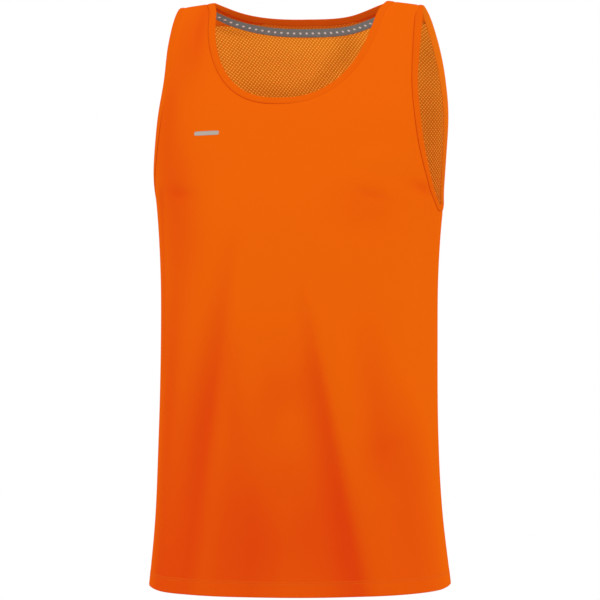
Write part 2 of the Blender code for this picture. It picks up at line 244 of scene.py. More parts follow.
BACK_CREASES: tuple[Crease, ...] = (
    Fold(-84, -112, -300, -520, -900, 20, 34, -6.0, 0.35),
    Fold(-52, -80, -330, -520, -900, 18, 24, 2.8, -0.05),
    Fold(-20, -34, -420, -600, -900, 18, 26, -4.0, 0.25),
    Fold(62, 96, -330, -540, -900, 18, 32, -6.5, 0.35),
    Fold(20, 34, -360, -560, -900, 22, 28, 3.4, -0.05),
    Fold(100, 138, -330, -520, -900, 18, 24, 3.0, -0.05),
    Fold(146, 152, -290, -420, -640, 14, 22, -3.4, 0.2),
    Fold(-150, -160, -300, -430, -700, 12, 20, -2.8, 0.15),
    Fold(0, 0, -70, -150, -900, 150, 150, 0.0, 0.15),
    Dent(-140, -232, 30, 10, 14, -2.4, 0.2),
    Dent(146, -226, 30, 10, -16, -2.4, 0.2),
    Dent(-118, -180, 42, 12, 62, -1.6, 0.1),
    Dent(116, -176, 42, 12, -60, -1.6, 0.1),
    Dent(4, -62, 60, 9, 0, -1.2, 0.1),
)
# Painted shade on the inner face of the back, in the shadow of the neck, the tape, the straps and
# the armholes; the one with a negative tone is a painted highlight.
LINING_SHADES: tuple[Crease, ...] = (
    Fold(0, 0, -70, -150, -900, 150, 150, 0.0, 0.31),
    Dent(150, -120, 110, 34, 90, 0.0, 0.45),
    Dent(152, -62, 34, 34, 90, 0.0, 0.35),
    Dent(-103, -78, 40, 34, 90, 0.0, 0.20),
    Dent(44, -46, 24, 16, 60, 0.0, 0.35),
    Dent(6, -84, 46, 9, 33, 0.0, 0.38),
    Dent(-62, -106, 40, 10, -10, 0.0, 0.30),
    Dent(-8, -64, 24, 14, 60, 0.0, -0.22),
    Dent(-102, -31, 26, 4, -12, 0.0, 0.40),
    Dent(-128, -48, 30, 6, 90, 0.0, 0.40),
    Dent(-144, -80, 80, 13, 90, 0.0, 0.70),
)


@dataclass(frozen=True)
class ClothForm:
    """The surface of the cloth, as a function of `share` and `along`."""

    levels: tuple[Level, ...] = LEVELS
    shoulder_slope: float = 0.13
    ridge_round: float = 40.0
    ridge_level: float = 110.0
    left_shoulder_fall: float = 0.024
    neck_dip: float = 0.4
    neck_dip_width: float = 14.0
    neck_dip_level: float = 1.5
    neck_half_width: float = 102.5
    left_rise: float = 3.2
    left_rise_place: float = 84.0
    left_rise_width: float = 26.0
    left_rise_levels: tuple[float, float, float] = (0.9, 1.4, 3.4)
    hem_tilt: float = 0.012
    hem_sag: float = 5.0
    side_lifts: tuple[float, float] = (3.0, 4.0)
    side_places: tuple[float, float] = (35.0, -32.0)
    side_reaches: tuple[float, float] = (42.0, 26.0)
    sway: float = -1.6
    sway_height: float = -550.0
    sway_reach: float = 110.0
    fold_side_fade: float = 6.0
    section_steps: int = 49
    centre_steps: int = 600
    difference: float = 0.5

    def level_value(self, name: str, level: np.ndarray) -> np.ndarray:
        """Smooth value of a column of the levels: a Catmull-Rom curve through the rows. Over the
        ridge, the row before the first is the first row of the other side.

        Args:
            name: The column.
            level: Places between the rows.

        Returns:
            The column's value at each place.
        """
        values = np.array([getattr(row, name) for row in self.levels], float)
        over_ridge = {"front": self.levels[1].back, "back": self.levels[1].front}
        ahead = over_ridge.get(name, values[1])
        values = np.concatenate([[ahead], values, [2 * values[-1] - values[-2]]])
        level = np.clip(level, 0, len(self.levels) - 1)
        first = np.minimum(level.astype(int), len(self.levels) - 2)
        t = level - first
        before, start, end, after = (values[first + k] for k in range(4))
        leave, arrive = (end - before) / 2, (after - start) / 2
        ease = t * t * (3 - 2 * t)
        bends = leave * t * (1 - t) ** 2 - arrive * t**2 * (1 - t)
        return start * (1 - ease) + end * ease + bends

    def centre_lengths(self, side: Side) -> tuple[np.ndarray, np.ndarray]:
        """Cloth length from the ridge down the centre of a side: the running length of the
        centre line's profile.

        Args:
            side: Front or back.

        Returns:
            Levels, and the length to each.
        """
        level = np.linspace(0, len(self.levels) - 1, self.centre_steps)
        depth = self.level_value(side.name.lower(), level)
        profile = np.stack([self.level_value("height", level), depth], axis=1)
        return level, run_lengths(profile)

    def level_at(self, along: np.ndarray) -> np.ndarray:
        """The level of each cloth length.

        Args:
            along: Cloth lengths.

        Returns:
            Places between the rows of the levels.
        """
        front_level, front_length = self.centre_lengths(Side.FRONT)
        back_level, back_length = self.centre_lengths(Side.BACK)
        on_front = np.interp(along, front_length, front_level)
        return np.where(along >= 0, on_front, np.interp(-along, back_length, back_level))

    def along_at(self, height: float, side: Side) -> float:
        """Cloth length down the centre of a side to a height, always positive."""
        level, length = self.centre_lengths(side)
        return float(np.interp(-height, -self.level_value("height", level), length))

    def depth_from_side(self, level: np.ndarray, along: np.ndarray) -> np.ndarray:
        """How far the centre line lies in front of (-) or behind (+) the side line."""
        front, back = self.level_value("front", level), self.level_value("back", level)
        return np.where(along < 0, back, front) - self.level_value("side", level)

    def quarter_arc(
        self, level: np.ndarray, along: np.ndarray
    ) -> tuple[np.ndarray, np.ndarray]:
        """Running length of a quarter of each superellipse section: x = a sin^p, y = b cos^p.

        Args:
            level: The level of each section.
            along: The cloth length of each section, for its side.

        Returns:
            Angles from the centre line, and a row of lengths to them for each section.
        """
        angle = np.linspace(0, np.pi / 2, self.section_steps)
        power = 2 / self.level_value("squareness", level)[:, None]
        x = self.level_value("half_width", level)[:, None] * np.sin(angle) ** power
        y = self.depth_from_side(level, along)[:, None] * np.cos(angle) ** power
        step = np.hypot(np.diff(x), np.diff(y))
        start = np.zeros((len(level), 1))
        return angle, np.hstack([start, np.cumsum(step, axis=1)])

    def quarter_length(self, along: np.ndarray) -> np.ndarray:
        """Cloth length from the centre line to the side line.

        Args:
            along: Cloth lengths down the centre line, in any shape.

        Returns:
            Cloth lengths across, in the same shape.
        """
        flat = np.ravel(np.asarray(along, float))
        lengths = self.quarter_arc(self.level_at(flat), flat)[1][:, -1]
        return lengths.reshape(np.shape(along))

    def section_angle(
        self, share: np.ndarray, level: np.ndarray, along: np.ndarray
    ) -> np.ndarray:
        """The angle in each section that lies at a share of its cloth, by looking the length up
        in the quarter's running length.

        Args:
            share: Share of the cloth, with sign.
            level: The level of each point.
            along: The cloth length of each point.

        Returns:
            Angle from the centre line at each point.
        """
        angle, arc = self.quarter_arc(level, along)
        wanted = np.abs(share) * arc[:, -1]
        cell = np.clip((arc < wanted[:, None]).sum(axis=1) - 1, 0, len(angle) - 2)
        row = np.arange(len(wanted))
        start, end = arc[row, cell], arc[row, cell + 1]
        part = np.clip((wanted - start) / (end - start), 0, 1)
        return angle[cell] + (angle[1] - angle[0]) * part

    def smooth_point(self, share: np.ndarray, along: np.ndarray) -> np.ndarray:
        """The cloth without its creases: a superellipse at each level, lowered outwards by the
        slope of the shoulders and in the middle by the sag of the hem, and lifted at the hem by
        the side seams.

        Args:
            share: Share of each point.
            along: Cloth length of each point.

        Returns:
            Points, one to a row.
        """
        level = self.level_at(along)
        angle = self.section_angle(share, level, along)
        power = 2 / self.level_value("squareness", level)
        x = np.sign(share) * self.level_value("half_width", level) * np.sin(angle) ** power
        depth = self.depth_from_side(level, along) * np.cos(angle) ** power
        height = self.level_value("height", level)
        down = height / self.levels[-1].height
        droop = self.hem_sag * (1 - share**2) - self.hem_tilt * x
        droop = droop * down - self.hem_lift(share, along) * down**12
        drop = self.shoulder_fall(x, level) - self.back_rise(x, level, along) + droop
        x = x + self.sway * bell((height - self.sway_height) / self.sway_reach)
        return np.stack([x, self.level_value("side", level) + depth, height - drop], axis=-1)

    def hem_lift(self, share: np.ndarray, along: np.ndarray) -> np.ndarray:
        """How far each flank's hem is drawn up: a bell of the cloth length from a place near its
        side line, + in front and - behind. The first of each pair is the wearer's right.

        Args:
            share: Share of each point.
            along: Cloth length of each point.

        Returns:
            Millimetres.
        """
        from_side = np.sign(along) * (1 - np.abs(share)) * self.quarter_length(along)
        lift, place, reach = (
            np.where(share < 0, *pair)
            for pair in (self.side_lifts, self.side_places, self.side_reaches)
        )
        return lift * bell((from_side - place) / reach)

    def shoulder_fall(self, x: np.ndarray, level: np.ndarray) -> np.ndarray:
        """How much lower the cloth lies at x: the slope of the shoulders, gone at the armpits,
        and a bell of the distance from the neck, where the straps roll down.

        Args:
            x: Place across the body.
            level: The level of each point.

        Returns:
            Millimetres.
        """
        outwards = np.hypot(x, self.ridge_round) - math.hypot(self.ridge_level, self.ridge_round)
        slope = self.shoulder_slope * outwards + self.left_shoulder_fall * np.maximum(x, 0)
        dip = self.neck_dip * bell((np.abs(x) - self.neck_half_width) / self.neck_dip_width)
        easing = smoothstep(1 - level / ARMPIT_LEVEL)
        return slope * easing + dip * smoothstep(1 - level / self.neck_dip_level)

    def back_rise(self, x: np.ndarray, level: np.ndarray, along: np.ndarray) -> np.ndarray:
        """How much higher the cloth lies behind the ridge beside the neck, on the wearer's left:
        a bell across, times a rise from the ridge and a fall to the shoulder blade.

        Args:
            x: Place across the body.
            level: The level of each point.
            along: Cloth length of each point.

        Returns:
            Millimetres.
        """
        beside = bell((x - self.left_rise_place) / self.left_rise_width) * (along < 0)
        full, falls, gone = self.left_rise_levels
        fall = smoothstep((gone - level) / (gone - falls))
        return self.left_rise * beside * smoothstep(level / full) * fall

    def normal(self, share: np.ndarray, along: np.ndarray) -> np.ndarray:
        """Outward normals: the cross product of the differences down and across the cloth.

        Args:
            share: Share of each point.
            along: Cloth length of each point.

        Returns:
            Unit normals, one to a row.
        """
        aside = self.difference / self.quarter_length(along)
        left, right = np.maximum(share - aside, -1), np.minimum(share + aside, 1)
        across = self.smooth_point(right, along) - self.smooth_point(left, along)
        below, above = along + self.difference, along - self.difference
        down = self.smooth_point(share, below) - self.smooth_point(share, above)
        return unit(np.cross(down, across))

    def creasing(
        self, share: np.ndarray, along: np.ndarray, height: np.ndarray
    ) -> tuple[np.ndarray, np.ndarray]:
        """Sums of the creases of each point's side: depth times strength, and tone, their painted
        shade, times strength.
        Both die out towards the side seams.

        Args:
            share: Share of each point.
            along: Cloth length of each point.
            height: Height of each point.

        Returns:
            How far the creases lift each point, and how much shade they paint into its colour.
        """
        across = share * self.quarter_length(along)
        lift, tone = np.zeros_like(across), np.zeros_like(across)
        for side, creases in ((Side.FRONT, FRONT_CREASES), (Side.BACK, BACK_CREASES)):
            here = (along >= 0) == (side is Side.FRONT)
            for crease in creases:
                strength = np.where(here, crease.strength(across, height), 0)
                lift += crease.depth * strength
                tone += crease.tone * strength
        inside = 1 - np.abs(share) ** self.fold_side_fade
        return lift * inside, tone * inside

    def point(
        self, share: np.ndarray, along: np.ndarray, out: np.ndarray | float = 0.0
    ) -> np.ndarray:
        """Points of the creased cloth in metres: the smooth point moved along its normal by the
        creases and by `out`.

        Args:
            share: Share of each point, in any shape.
            along: Cloth length of each point, in the same shape.
            out: Extra millimetres outwards.

        Returns:
            Points, with a last axis of three.
        """
        shape = np.shape(share)
        flat_share, flat_along = np.ravel(share), np.ravel(along)
        smooth = self.smooth_point(flat_share, flat_along)
        lift = self.creasing(flat_share, flat_along, smooth[:, 2])[0]
        moved = (lift + np.ravel(np.broadcast_to(out, shape)))[:, None]
        points = smooth + self.normal(flat_share, flat_along) * moved
        return points.reshape(*shape, 3) * MM

    def place(self, across: np.ndarray, height: float, side: Side) -> tuple[Any, Any]:
        """Cloth coordinates of places at a height, looked up down a line of cloth.

        Args:
            across: Cloth length from the centre line.
            height: Height of the places.
            side: Front or back.

        Returns:
            Share and along.
        """
        line = np.linspace(0, 700, 1401) * side.value
        quarter = self.quarter_length(line)
        middle = self.smooth_point(float(np.mean(across)) / quarter, line)
        along = np.interp(-height, -middle[:, 2], line)
        return across / np.interp(abs(along), np.abs(line), quarter), along + 0 * across

    def tone(self, share: np.ndarray, along: np.ndarray) -> np.ndarray:
        """How much shade the creases paint into the colour at each point, in any shape.

        Args:
            share: Share of each point.
            along: Cloth length of each point.

        Returns:
            Tone of each point.
        """
        flat_share, flat_along = np.ravel(share), np.ravel(along)
        height = self.smooth_point(flat_share, flat_along)[:, 2]
        return self.creasing(flat_share, flat_along, height)[1].reshape(np.shape(share))

    def lining_shade(self, share: np.ndarray, along: np.ndarray) -> np.ndarray:
        """How much deeper the colour of the back's inner face is: the sum of the lining shades'
        tones times their strengths, which dies out towards the side seams.

        Args:
            share: Share of each point, in any shape.
            along: Cloth length of each point, in the same shape.

        Returns:
            Shade of each point.
        """
        flat_share, flat_along = np.ravel(share), np.ravel(along)
        height = self.smooth_point(flat_share, flat_along)[:, 2]
        across = flat_share * self.quarter_length(flat_along)
        shade = sum(mark.tone * mark.strength(across, height) for mark in LINING_SHADES)
        inside = 1 - np.abs(flat_share) ** self.fold_side_fade
        return (shade * inside).reshape(np.shape(share))


FORM = ClothForm()


# ---------------------------------------------------------------- edges on the cloth


@dataclass(frozen=True)
class RoundedEdge:
    """A closed edge round the shoulder ridge, a superellipse in the flat cloth. Turn is 0 on the
    ridge, 90 at the lowest point of the front and -90 at that of the back. In front it has one
    power for the distance from its axis and another for the cloth length."""

    width: float
    front_drop: float
    back_drop: float
    front_powers: tuple[float, float]
    back_squareness: float
    seam_along: float
    from_side: bool
    narrowing: float = 0.0
    narrow_by: float = 1.0
    pinch: float = 0.0
    pinch_reach: float = 0.007
    flare: float = 0.0
    flare_lengths: tuple[float, float] = (16.0, 13.0)
    RUN_ON = -0.95

    def narrower(self, rise: np.ndarray) -> np.ndarray:
        """How much of an offset is lost at a rise, the sine of the turn: all of the narrowing
        from `narrow_by` on in front, and a bell of the pinch on the ridge. An edge that runs on
        round the side line is as narrow just behind it.

        Args:
            rise: Sines of the turns.

        Returns:
            The part that is lost at each.
        """
        narrow = smoothstep(rise / self.narrow_by)
        if self.from_side:
            narrow = narrow + smoothstep((self.RUN_ON - rise) / (1 + self.RUN_ON))
        return self.narrowing * narrow + self.pinch * bell(rise / self.pinch_reach)

    def flared(self, along: np.ndarray) -> np.ndarray:
        """How much further the edge lies from its axis near the ridge: a bell of the cloth
        length, shorter at the back."""
        return self.flare * bell(along / np.where(along < 0, *self.flare_lengths[::-1]))

    def flat(self, turn: np.ndarray, offset: float) -> tuple[np.ndarray, np.ndarray]:
        """Distance from the edge's own axis, w |cos|^(2/p) and the flare, and cloth length,
        d |sin|^(2/q), with the offset made narrower.

        Args:
            turn: Turns in degrees.
            offset: Millimetres outside the finished edge.

        Returns:
            Distances from the axis line and cloth lengths.
        """
        angle = np.radians(turn)
        front = turn >= 0
        offset = offset * (1 - self.narrower(np.sin(angle)))
        drop = np.where(front, self.front_drop, self.back_drop) + offset
        p, q = (np.where(front, power, self.back_squareness) for power in self.front_powers)
        aside = (self.width + offset) * np.abs(np.cos(angle)) ** (2 / p)
        along = drop * np.sign(angle) * np.abs(np.sin(angle)) ** (2 / q)
        return aside + self.flared(along), along

    def curve(self, turn: np.ndarray, offset: float) -> tuple[np.ndarray, np.ndarray]:
        """Share and along of the edge, `offset` outside its finished line.

        Args:
            turn: Turns in degrees.
            offset: Millimetres outside the finished edge.

        Returns:
            Shares and cloth lengths.
        """
        aside, along = self.flat(turn, offset)
        share = aside / FORM.quarter_length(along)
        return (1 - share if self.from_side else share), along

    def turn_aside(self, aside: np.ndarray, offset: float) -> np.ndarray:
        """The turns at which the back of the edge is this far from its axis."""
        turns = np.linspace(-90, 0, 721)
        return np.interp(aside, self.flat(turns, offset)[0], turns)

    def seam_turn(self, offset: float, gap: float) -> float:
        """The turn at which the edge meets the shoulder seam, moved forwards by `gap`."""
        turns = np.linspace(-90, 0, 721)
        return float(np.interp(self.seam_along + gap, self.curve(turns, offset)[1], turns))

    def even_turns(self, offset: float, start: float, end: float, count: int) -> np.ndarray:
        """Turns that part a stretch of the edge into equal lengths on the body.

        Args:
            offset: Millimetres outside the finished edge.
            start: First turn.
            end: Last turn.
            count: How many lengths.

        Returns:
            count + 1 turns.
        """
        turns = np.linspace(start, end, 12 * count + 60)
        length = run_lengths(FORM.smooth_point(*self.curve(turns, offset)))
        return np.interp(np.linspace(0, length[-1], count + 1), length, turns)


NECKLINE = RoundedEdge(
    101.8, 149.3, 45.2, (2.35, 2.35), 1.95, -46, from_side=False, narrowing=0.18, flare=7.0
)
ARMPIT_HEIGHT = -247
STRAP_EDGE = 154  # from the centre line to the armhole, on the ridge
ARMHOLE = RoundedEdge(
    LEVELS[0].half_width - STRAP_EDGE,
    FORM.along_at(ARMPIT_HEIGHT, Side.FRONT),
    FORM.along_at(ARMPIT_HEIGHT, Side.BACK),
    (1.5, 3.5),
    3.8,
    -33,
    from_side=True,
    narrowing=0.22,
    narrow_by=0.2,
    pinch=0.35,
)
BINDING_WIDTH = 10.0
SEAM_GAP = 0.3
SEAM_TUCK = 1.1
SIDE_WRAP = 30.0
HEM_STITCH_ROWS = (15.4, 18.0)


# ---------------------------------------------------------------- meshes


@dataclass
class Sheet:
    """Grids of cloth points that are sewn into one mesh. Each grid has its points, and for each
    point its pattern place (two lengths in metres), its tone (painted shade), its extra thickness
    (on a binding, instead, the painted glow of its inner face) and the painted shade of its inner
    face."""

    points: list[np.ndarray] = field(default_factory=list)
    places: list[np.ndarray] = field(default_factory=list)
    tones: list[np.ndarray] = field(default_factory=list)
    thickness: list[np.ndarray] = field(default_factory=list)
    shades: list[np.ndarray] = field(default_factory=list)
    faces: list[np.ndarray] = field(default_factory=list)
    count: int = 0

    WELD = 2e-5

    def add(
        self,
        points: np.ndarray,
        place: np.ndarray,
        tone: np.ndarray,
        thick: np.ndarray | float = 0.0,
        flip: bool = False,
        closed: tuple[bool, bool] = (False, False),
        shade: np.ndarray | float = 0.0,
    ) -> None:
        """Adds a grid, with a quad between each four neighbours.

        Args:
            points: Grid of points in metres.
            place: Grid of pattern places.
            tone: Grid of tones, the painted shade.
            thick: Grid of extra thickness, from 0 to 1; on a binding, instead, the painted glow of
                its inner face.
            flip: Turns the faces over.
            closed: Whether the rows, and the columns, run round into a ring.
            shade: Grid of the painted shades of the inner face.
        """
        rows, columns = points.shape[:2]
        index = self.count + np.arange(rows * columns).reshape(rows, columns)
        for axis, ring in enumerate(closed):
            if ring:
                index = np.concatenate([index, index.take([0], axis=axis)], axis=axis)
        corners = (index[:-1, :-1], index[:-1, 1:], index[1:, 1:], index[1:, :-1])
        quads = np.stack(corners, axis=-1).reshape(-1, 4)
        self.faces.append(quads[:, ::-1] if flip else quads)
        self.points.append(points.reshape(-1, 3))
        self.places.append(place.reshape(-1, 2))
        self.tones.append(np.ravel(tone))
        self.thickness.append(np.broadcast_to(thick, (rows, columns)).ravel())
        self.shades.append(np.broadcast_to(shade, (rows, columns)).ravel())
        self.count += rows * columns

    def to_object(self, name: str) -> bpy.types.Object:
        """Sews the grids at their common points and makes a smooth object of them, with a UV map
        of the pattern places, and attributes of the tone, the extra thickness and the shade, which
        carry the painted shade and the painted glow of a binding's inner face.

        Args:
            name: The piece's name.

        Returns:
            The new object.
        """
        mesh = bpy.data.meshes.new(name)
        faces = np.concatenate(self.faces)
        mesh.from_pydata(np.concatenate(self.points), [], faces.tolist())
        places = np.concatenate(self.places)
        values = {
            "place_u": places[:, 0],
            "place_v": places[:, 1],
            "tone": np.concatenate(self.tones),
            "thick": np.concatenate(self.thickness),
            "shade": np.concatenate(self.shades),
        }
        for key, value in values.items():
            store = mesh.attributes.new(key, "FLOAT", "POINT")
            store.data.foreach_set("value", value.astype(np.float32))
        sew_doubles(mesh, self.WELD)
        lay_pattern(mesh)
        mesh.shade_smooth()
        piece = bpy.data.objects.new(name, mesh)
        bpy.context.scene.collection.objects.link(piece)
        return piece


def sew_doubles(mesh: bpy.types.Mesh, distance: float) -> None:
    """Merges the points of a mesh that lie within a distance.

    Args:
        mesh: The mesh.
        distance: How close they lie, in metres.
    """
    import bmesh

    shell = bmesh.new()
    shell.from_mesh(mesh)
    bmesh.ops.remove_doubles(shell, verts=shell.verts, dist=distance)
    shell.to_mesh(mesh)
    shell.free()


def read_values(mesh: bpy.types.Mesh, key: str) -> np.ndarray:
    """The values of a float attribute of a mesh, one for each point.

    Args:
        mesh: The mesh.
        key: The attribute's name.

    Returns:
        The values.
    """
    values = np.empty(len(mesh.vertices), np.float32)
    mesh.attributes[key].data.foreach_get("value", values)
    return values


def lay_pattern(mesh: bpy.types.Mesh) -> None:
    """Makes the UV map from the place attributes, a value for each face corner from its point.

    Args:
        mesh: The mesh. Its place attributes go.
    """
    corner = np.empty(len(mesh.loops), np.int32)
    mesh.loops.foreach_get("vertex_index", corner)
    place = np.stack([read_values(mesh, "place_u")[corner], read_values(mesh, "place_v")[corner]])
    layer = mesh.uv_layers.new(name="pattern")
    layer.data.foreach_set("uv", place.T.ravel().astype(np.float32))
    for key in ("place_u", "place_v"):
        mesh.attributes.remove(mesh.attributes[key])


def add_wall(piece: bpy.types.Object, wall: float, thick_wall: float | None = None) -> None:
    """Gives a sheet its wall, half on each side.

    Args:
        piece: The sheet.
        wall: Thickness in millimetres.
        thick_wall: Thickness where the sheet's extra thickness is 1, if it has any.
    """
    solidify = piece.modifiers.new("wall", "SOLIDIFY")
    solidify.thickness = (thick_wall or wall) * MM
    solidify.offset = 0
    if thick_wall:
        group = piece.vertex_groups.new(name="thick")
        weight = read_values(piece.data, "thick")
        for value in np.unique(weight[weight > 0]):
            group.add(np.nonzero(weight == value)[0].tolist(), float(value), "REPLACE")
        solidify.vertex_group = group.name
        solidify.thickness_vertex_group = wall / thick_wall


def finish_piece(
    piece: bpy.types.Object, slot: str, material: bpy.types.Material, *nodes: str
) -> bpy.types.Object:
    """Dresses a piece, lets it ride on the garment, and has it stand for solids.

    Args:
        piece: The piece.
        slot: The record's material slot; not used.
        material: The finish.
        nodes: The solids that the piece stands for.

    Returns:
        The same piece.
    """
    piece.data.materials.append(material)
    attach(piece, BODY)
    if nodes:
        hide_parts(*nodes)
    log.info("%s: %d faces before its wall", piece.name, len(piece.data.polygons))
    return piece


# ---------------------------------------------------------------- panels


@dataclass(frozen=True)
class Panel:
    """The front or the back: a collar patch beside the neck seam, two fans of rays from the
    armhole seams, and level rows below the chest line, sewn into one sheet."""

    side: Side
    wall: float = 1.0
    hem_wall: float = 2.2
    hem_inwards: float = 0.45
    hem_lighter: float = 0.16
    stitch_depth: float = 0.22
    stitch_reach: float = 0.7
    chest_line: float = 45.0
    collar_width: float = 12.0
    ray_slope: float = 12.0
    stretch: float = 0.12
    seam_depth: float = 0.5
    seam_reach: float = 1.6
    side_gap: float = 0.06
    neck_shade_reach: float = 3.4
    shoulder_shade_reach: float = 2.2
    wrap_rays: int = 14
    front_neck_rays: int = 60
    back_neck_rays: int = 52
    centre_rays: int = 26
    body_rays: int = 66
    side_rays: int = 14
    fan_rows: int = 54
    body_rows: int = 104
    fan_power: float = 1.25
    side_power: float = 1.3
    COLLAR_ROWS = (0, 0.04, 0.09, 0.15, 0.22, 0.32, 0.46, 0.64, 0.82, 1)
    HEM_TOP = (19.0, 18.4, 18.0, 17.6, 17.0, 16.2, 15.8, 15.4, 15.0, 14.2, 12.0, 9.0, 6.0)
    HEM_EDGE = ((3.0, 1.0), (1.3, 1.0), (0.6, 0.75), (0.2, 0.35), (0.0, 0.0))

    @property
    def sign(self) -> int:
        """The sign of `along` on this panel."""
        return self.side.value

    @property
    def gap(self) -> float:
        """Half the gap at the shoulder seam, towards this panel."""
        return self.sign * self.side_gap / 2

    def turns(self, edge: RoundedEdge, offset: float) -> np.ndarray:
        """Turns of this panel's rays on an edge, from the shoulder seam.

        Args:
            edge: The neckline or the armhole.
            offset: Millimetres outside the finished edge.

        Returns:
            Turns, at equal lengths of the edge within each stretch.
        """
        seam = edge.seam_turn(offset, self.gap)
        inner = 0 if edge is NECKLINE else self.centre_rays + self.body_rays
        if self.side is Side.BACK:
            at_side = edge.turn_aside(SIDE_WRAP + self.side_gap / 2, offset)
            end = -90 if edge is NECKLINE else float(at_side)
            return edge.even_turns(offset, seam, end, self.back_neck_rays + inner)
        wrap = edge.even_turns(offset, seam, 0, self.wrap_rays)
        if edge is NECKLINE:
            front = edge.even_turns(offset, 0, 90, self.front_neck_rays)
            return np.concatenate([wrap, front[1:]])
        below_neck = NECKLINE.front_drop + BINDING_WIDTH + self.collar_width + self.ray_slope
        upright = np.linspace(0, 90, 721)
        bend = float(np.interp(below_neck, edge.flat(upright, offset)[1], upright))
        upper = edge.even_turns(offset, 0, bend, self.front_neck_rays)
        lower = edge.even_turns(offset, bend, 90, inner)
        return np.concatenate([wrap, upper[1:], lower[1:]])

    def chest_along(self) -> float:
        """Where the level rows start."""
        seam = FORM.along_at(ARMPIT_HEIGHT, self.side) + BINDING_WIDTH
        return self.sign * (seam + self.chest_line)

    def side_columns(self) -> np.ndarray:
        """Shares from the centre line to the panel's side, closer together towards the side."""
        return 1 - (1 - np.linspace(0, 1, self.body_rays + 1)) ** self.side_power

    def panel_share(self, share: np.ndarray, along: np.ndarray) -> np.ndarray:
        """Shares of the panel's level rows as shares of the cloth. The front reaches to the side
        line and beyond, and the back ends at the side seam, behind it."""
        if self.side is Side.FRONT:
            return share
        return share * (1 - (SIDE_WRAP + self.side_gap / 2) / FORM.quarter_length(along))

    def collar(self) -> tuple[np.ndarray, np.ndarray]:
        """The patch beside the neck seam, both halves: straight rows from the seam outwards.

        Returns:
            Share and along.
        """
        first, last = (
            NECKLINE.curve(self.turns(NECKLINE, offset), offset)
            for offset in (BINDING_WIDTH - SEAM_TUCK, BINDING_WIDTH + self.collar_width)
        )
        share, along = blend_rows(first, last, np.array(self.COLLAR_ROWS))
        return np.vstack([-share, share[-2::-1]]), np.vstack([along, along[-2::-1]])

    def fan(self) -> tuple[np.ndarray, np.ndarray]:
        """The wearer's left half round the armhole: straight rays from the armhole seam to the
        collar patch, the centre line and the chest line.

        Returns:
            Share and along.
        """
        offset = BINDING_WIDTH + self.collar_width
        share, along = NECKLINE.curve(self.turns(NECKLINE, offset), offset)
        centre = np.linspace(along[-1], self.chest_along(), self.centre_rays + 1)[1:]
        line_along = np.full(self.body_rays, centre[-1])
        line = self.panel_share(self.side_columns()[1:], line_along)
        inner_share = np.concatenate([share, np.zeros(self.centre_rays), line])
        inner_along = np.concatenate([along, centre, line_along])
        seam = BINDING_WIDTH - SEAM_TUCK
        armhole = ARMHOLE.curve(self.turns(ARMHOLE, seam), seam)
        return blend_rows(armhole, (inner_share, inner_along), self.fan_parts())

    def fan_parts(self) -> np.ndarray:
        """Parts of the way along the fan's rays, closer together at the armhole seam."""
        return np.linspace(0, 1, self.fan_rows) ** self.fan_power

    def level_rows(self) -> tuple[np.ndarray, np.ndarray]:
        """The level rows, from the chest line to the hem.

        Returns:
            Cloth lengths of the rows, and the extra thickness of each.
        """
        end = FORM.along_at(LEVELS[-1].height, self.side)
        top = end - np.array(self.HEM_TOP)
        plain = np.linspace(abs(self.chest_along()), top[0] - 0.8, self.body_rows)
        edge = np.array(self.HEM_EDGE)
        rows = self.sign * np.concatenate([plain, top, end - edge[:, 0]])
        return rows, np.concatenate([np.zeros(len(plain)), np.ones(len(top)), edge[:, 1]])

    def body(self) -> tuple[np.ndarray, np.ndarray, np.ndarray]:
        """The level rows, with the extra thickness of the hem.

        Returns:
            Share, along and extra thickness.
        """
        rows, thick = self.level_rows()
        half = self.side_columns()
        columns = np.concatenate([-half[:0:-1], half])
        share, along = np.meshgrid(columns, rows, indexing="ij")
        return self.panel_share(share, along), along, np.broadcast_to(thick, share.shape)

    def side_strip(self) -> tuple[np.ndarray, np.ndarray, np.ndarray, np.ndarray]:
        """The part of the front behind the wearer's left side line, as cloth of the back: its
        rows are level with the front's, and the first follows the armhole seam.

        Returns:
            Share, along, extra thickness, and pattern place.
        """
        rows, thick = self.level_rows()
        seam = BINDING_WIDTH - SEAM_TUCK
        top = float(ARMHOLE.flat(np.array([90.0]), seam)[1][0])
        upper = top + (rows[0] - top) * self.fan_parts()
        front_rows = np.concatenate([upper, rows[1:]])
        level, length = FORM.centre_lengths(Side.BACK)
        rows = -np.interp(FORM.level_at(front_rows), level, length)
        thick = np.concatenate([np.zeros(len(upper) - 1), thick])
        aside = np.linspace(0, SIDE_WRAP - self.side_gap / 2, self.side_rays + 1)
        aside = SIDE_WRAP * (aside / SIDE_WRAP) ** (1 / self.side_power)
        rise = ARMHOLE.flat(ARMHOLE.turn_aside(aside, seam), seam)[1] - rows[0]
        chest = rows[len(upper) - 1]
        left = np.clip((rows - chest) / (rows[0] - chest), 0, 1)
        along = rows + (rise * (aside > 0))[:, None] * left
        share = 1 - aside[:, None] / FORM.quarter_length(along)
        across = FORM.quarter_length(front_rows) + aside[:, None]
        place = np.stack(np.broadcast_arrays(across, front_rows), axis=-1) * MM
        return share, along, np.broadcast_to(thick, share.shape), place

